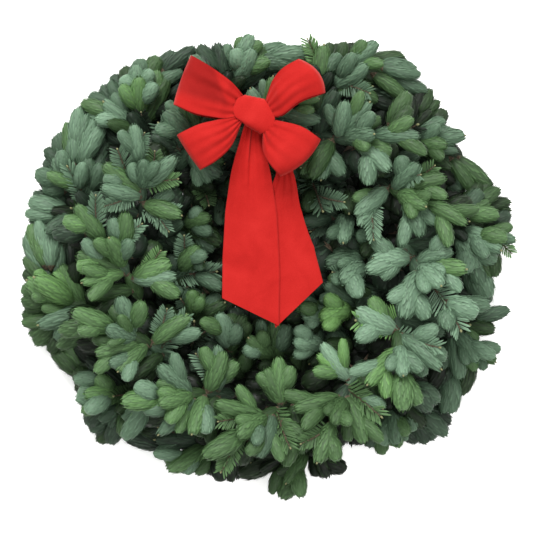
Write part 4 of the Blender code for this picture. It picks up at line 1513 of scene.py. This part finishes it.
def build_wrap(surface):
    """The short band of ribbon round the middle of the bow, drawn in at its two sides."""
    level = Matrix.Rotation(BOW_TILT, 3, "Z")

    def place(across, along):
        angle = math.tau * along
        y, z = math.cos(angle), math.sin(angle)
        square = (abs(y) ** WRAP_SQUARENESS + abs(z) ** WRAP_SQUARENESS) ** (-1 / WRAP_SQUARENESS)
        y, z = y * square, z * square
        foot = WRAP_LEFT_FOOT + (WRAP_RIGHT_FOOT - WRAP_LEFT_FOOT) * across if y < 0 else 1
        left, right = (float(np.interp(y, *zip(*edge))) for edge in (WRAP_LEFT, WRAP_RIGHT))
        crease = WRAP_CREASE * math.cos(math.tau * WRAP_CREASES * across) * abs(y) ** 6
        curl = WRAP_CURL * (2 * across - 1) ** 4
        return BOW_CENTRE + level @ Vector((
            left + (right - left) * across,
            (y * (WRAP_HALF_HEIGHT - WRAP_INSET[0]) + crease) * foot,
            z * (WRAP_HALF_DEPTH - WRAP_INSET[1] - curl)))

    piece = ribbon_piece("velvet_wrap", place, WRAP_COLUMNS, WRAP_ROWS, surface, closed=True)
    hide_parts("bow_centre_wrap")


# Each tail's pleats under the knot: depth, how soon they fade, how many, and how far they are sunk
TAIL_PLEATS = {"front": (0.0020, 1.3, 2.5, 0), "back": (0.0044, 2.4, 3.5, 1)}
# The fold down a tail: how deep, where across it, how wide, and where along the tail it ends
TAIL_FOLDS = {"front": 0.0042, "back": 0}
FOLD_PLACE = 0.46
FOLD_WIDTH = 0.026
FOLD_END = 0.7
TAIL_CUT_START = 0.55
# How far down each tail the painted light at its top reaches
TAIL_PAINTED_LIGHT_END = 0.62
TAIL_STEPS = 8
TAIL_COLUMNS = 24
TAIL_ROWS = 60


def build_tails(surface):
    """Two tails that hang from behind the wrap, pleated at the top and cut on a slant."""
    for name, plan in TAILS.items():
        depth, fade, waves, sunk = TAIL_PLEATS[name]
        line = smooth_line([Vector(point) for point in plan["line"]], TAIL_STEPS)
        widths = [(number / (len(plan["widths"]) - 1), width)
                  for number, width in enumerate(plan["widths"])]

        def place(across, along):
            middle, ahead = along_line(line, along)
            offset = across - 0.5
            side = Vector((0, 0, 1)).cross(ahead).normalized()
            width = RIBBON_WIDTH * float(along_table(widths, along))
            cut = plan["cut"][0] * across + plan["cut"][1] * (1 - across)
            late = slope(along, TAIL_CUT_START, 1)
            pleat = depth * (1 - along) ** fade * (math.cos(math.tau * waves * across) - sunk)
            fold = (TAIL_FOLDS[name] * hump(across, FOLD_PLACE, FOLD_WIDTH)
                    * (1 - slope(along, 0, FOLD_END)))
            lift = Vector((0, 0, pleat - fold))
            return middle + side * offset * width + ahead * cut * late + lift

        # Painted light: each tail's colour is painted lighter at its top, under the loops and the
        # wrap, fading out down the tail
        def nap(across, along):
            return NEUTRAL_PAINTED_LIGHT * slope(along, 0, TAIL_PAINTED_LIGHT_END)

        piece = ribbon_piece(f"velvet_tail_{name}", place, TAIL_COLUMNS, TAIL_ROWS, surface,
                             nap=nap)
        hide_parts(f"bow_tail_{name}")
        line_length(line) + max(plan["cut"])


# ---------------------------------------------------------------- stage

FLOOR_DROP = 0.0002
FLOOR_GLOW = 0.44
DAYLIGHT = 0.67
# The lights: name, place, width and power
LIGHTS = (("key", (-0.5, 1.9, 2.2), 1.3, 94), ("fill", (0.9, -0.6, 2.6), 2.2, 34))
CAMERA_PLACE = (-0.004, -0.0006, VIEW_HEIGHT)
CAMERA_LENS = 175.5


def build_stage():
    """A pale floor, soft daylight from above the bow, and a camera that looks straight down."""
    deselect()
    bpy.ops.mesh.primitive_plane_add(size=8, location=(0, 0, -FLOOR_DROP))
    floor = bpy.context.object
    floor.name = "floor"
    pale, _, shader = new_material("pale_floor")
    shader.inputs["Base Color"].default_value = (0.92, 0.92, 0.91, 1)
    shader.inputs["Roughness"].default_value = 0.9
    shader.inputs["Emission Color"].default_value = (1, 1, 1, 1)
    shader.inputs["Emission Strength"].default_value = FLOOR_GLOW
    floor.data.materials.append(pale)
    world = bpy.data.worlds.new("daylight")
    bpy.context.scene.world = world
    world.use_nodes = True
    world.node_tree.nodes["Background"].inputs["Color"].default_value = (1.0, 1.0, 0.985, 1)
    world.node_tree.nodes["Background"].inputs["Strength"].default_value = DAYLIGHT
    for name, place, size, power in LIGHTS:
        bpy.ops.object.light_add(type="AREA", location=place)
        light = bpy.context.object
        light.name = name
        light.data.size = size
        light.data.energy = power
        light.rotation_euler = (-Vector(place)).to_track_quat("-Z", "Y").to_euler()
    bpy.ops.object.camera_add(location=CAMERA_PLACE, rotation=(0, 0, 0))
    camera = bpy.context.object
    camera.data.lens = CAMERA_LENS
    camera.data.sensor_width = 36
    bpy.context.scene.camera = camera
    bpy.context.scene.view_settings.view_transform = "Standard"


# ---------------------------------------------------------------- the whole wreath

NEEDLE_GREENS = [(0.003, 0.008, 0.002), (0.036, 0.076, 0.026), (0.092, 0.180, 0.068),
                 (0.150, 0.310, 0.092)]
NEEDLE_BLUES = [(0.003, 0.008, 0.004), (0.078, 0.140, 0.084), (0.205, 0.335, 0.222)]
# The inner run's needles: the same greens painted darker, as shade towards the hole
INNER_PAINTED_SHADE = 0.85
RING_PAINT = (0.030, 0.075, 0.042)
RING_METAL = (0.55, 0.56, 0.57)
TIE_PAINT = (0.022, 0.060, 0.035)
TIE_METAL = (0.50, 0.51, 0.50)


def main():
    """The stage, the foliage, the bow, and the metal parts' paint."""
    build_stage()
    strips = build_strip_group()
    wear = build_mottle_group()
    # The inner run's material is a copy of the green one, painted darker as shade
    darker = [shaded(colour, INNER_PAINTED_SHADE) for colour in NEEDLE_GREENS]
    needles = {
        "outer": needle_material("fir_needles_blue_green", strips, NEEDLE_GREENS, 0.56),
        "inner": needle_material("fir_needles_deep_green", strips, darker, 0.60),
        "crown": needle_material("fir_needles_green", strips, NEEDLE_GREENS, 0.54),
    }
    for piece in build_foliage(needles, bark_material(strips)):
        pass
    velvet = velvet_material()
    build_loops(velvet)
    build_wrap(velvet)
    build_tails(velvet)
    steel = wire_material("painted_steel_wire", wear, RING_PAINT, RING_METAL, 0.45, 700)
    fine = wire_material("green_tie_wire", wear, TIE_PAINT, TIE_METAL, 0.3, 1600)
    for name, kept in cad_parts.items():
        if name.startswith(("clamp", "wire_ring", "bow_tie")):
            kept.material_slots[0].material = fine if name.startswith("bow_tie") else steel


main()
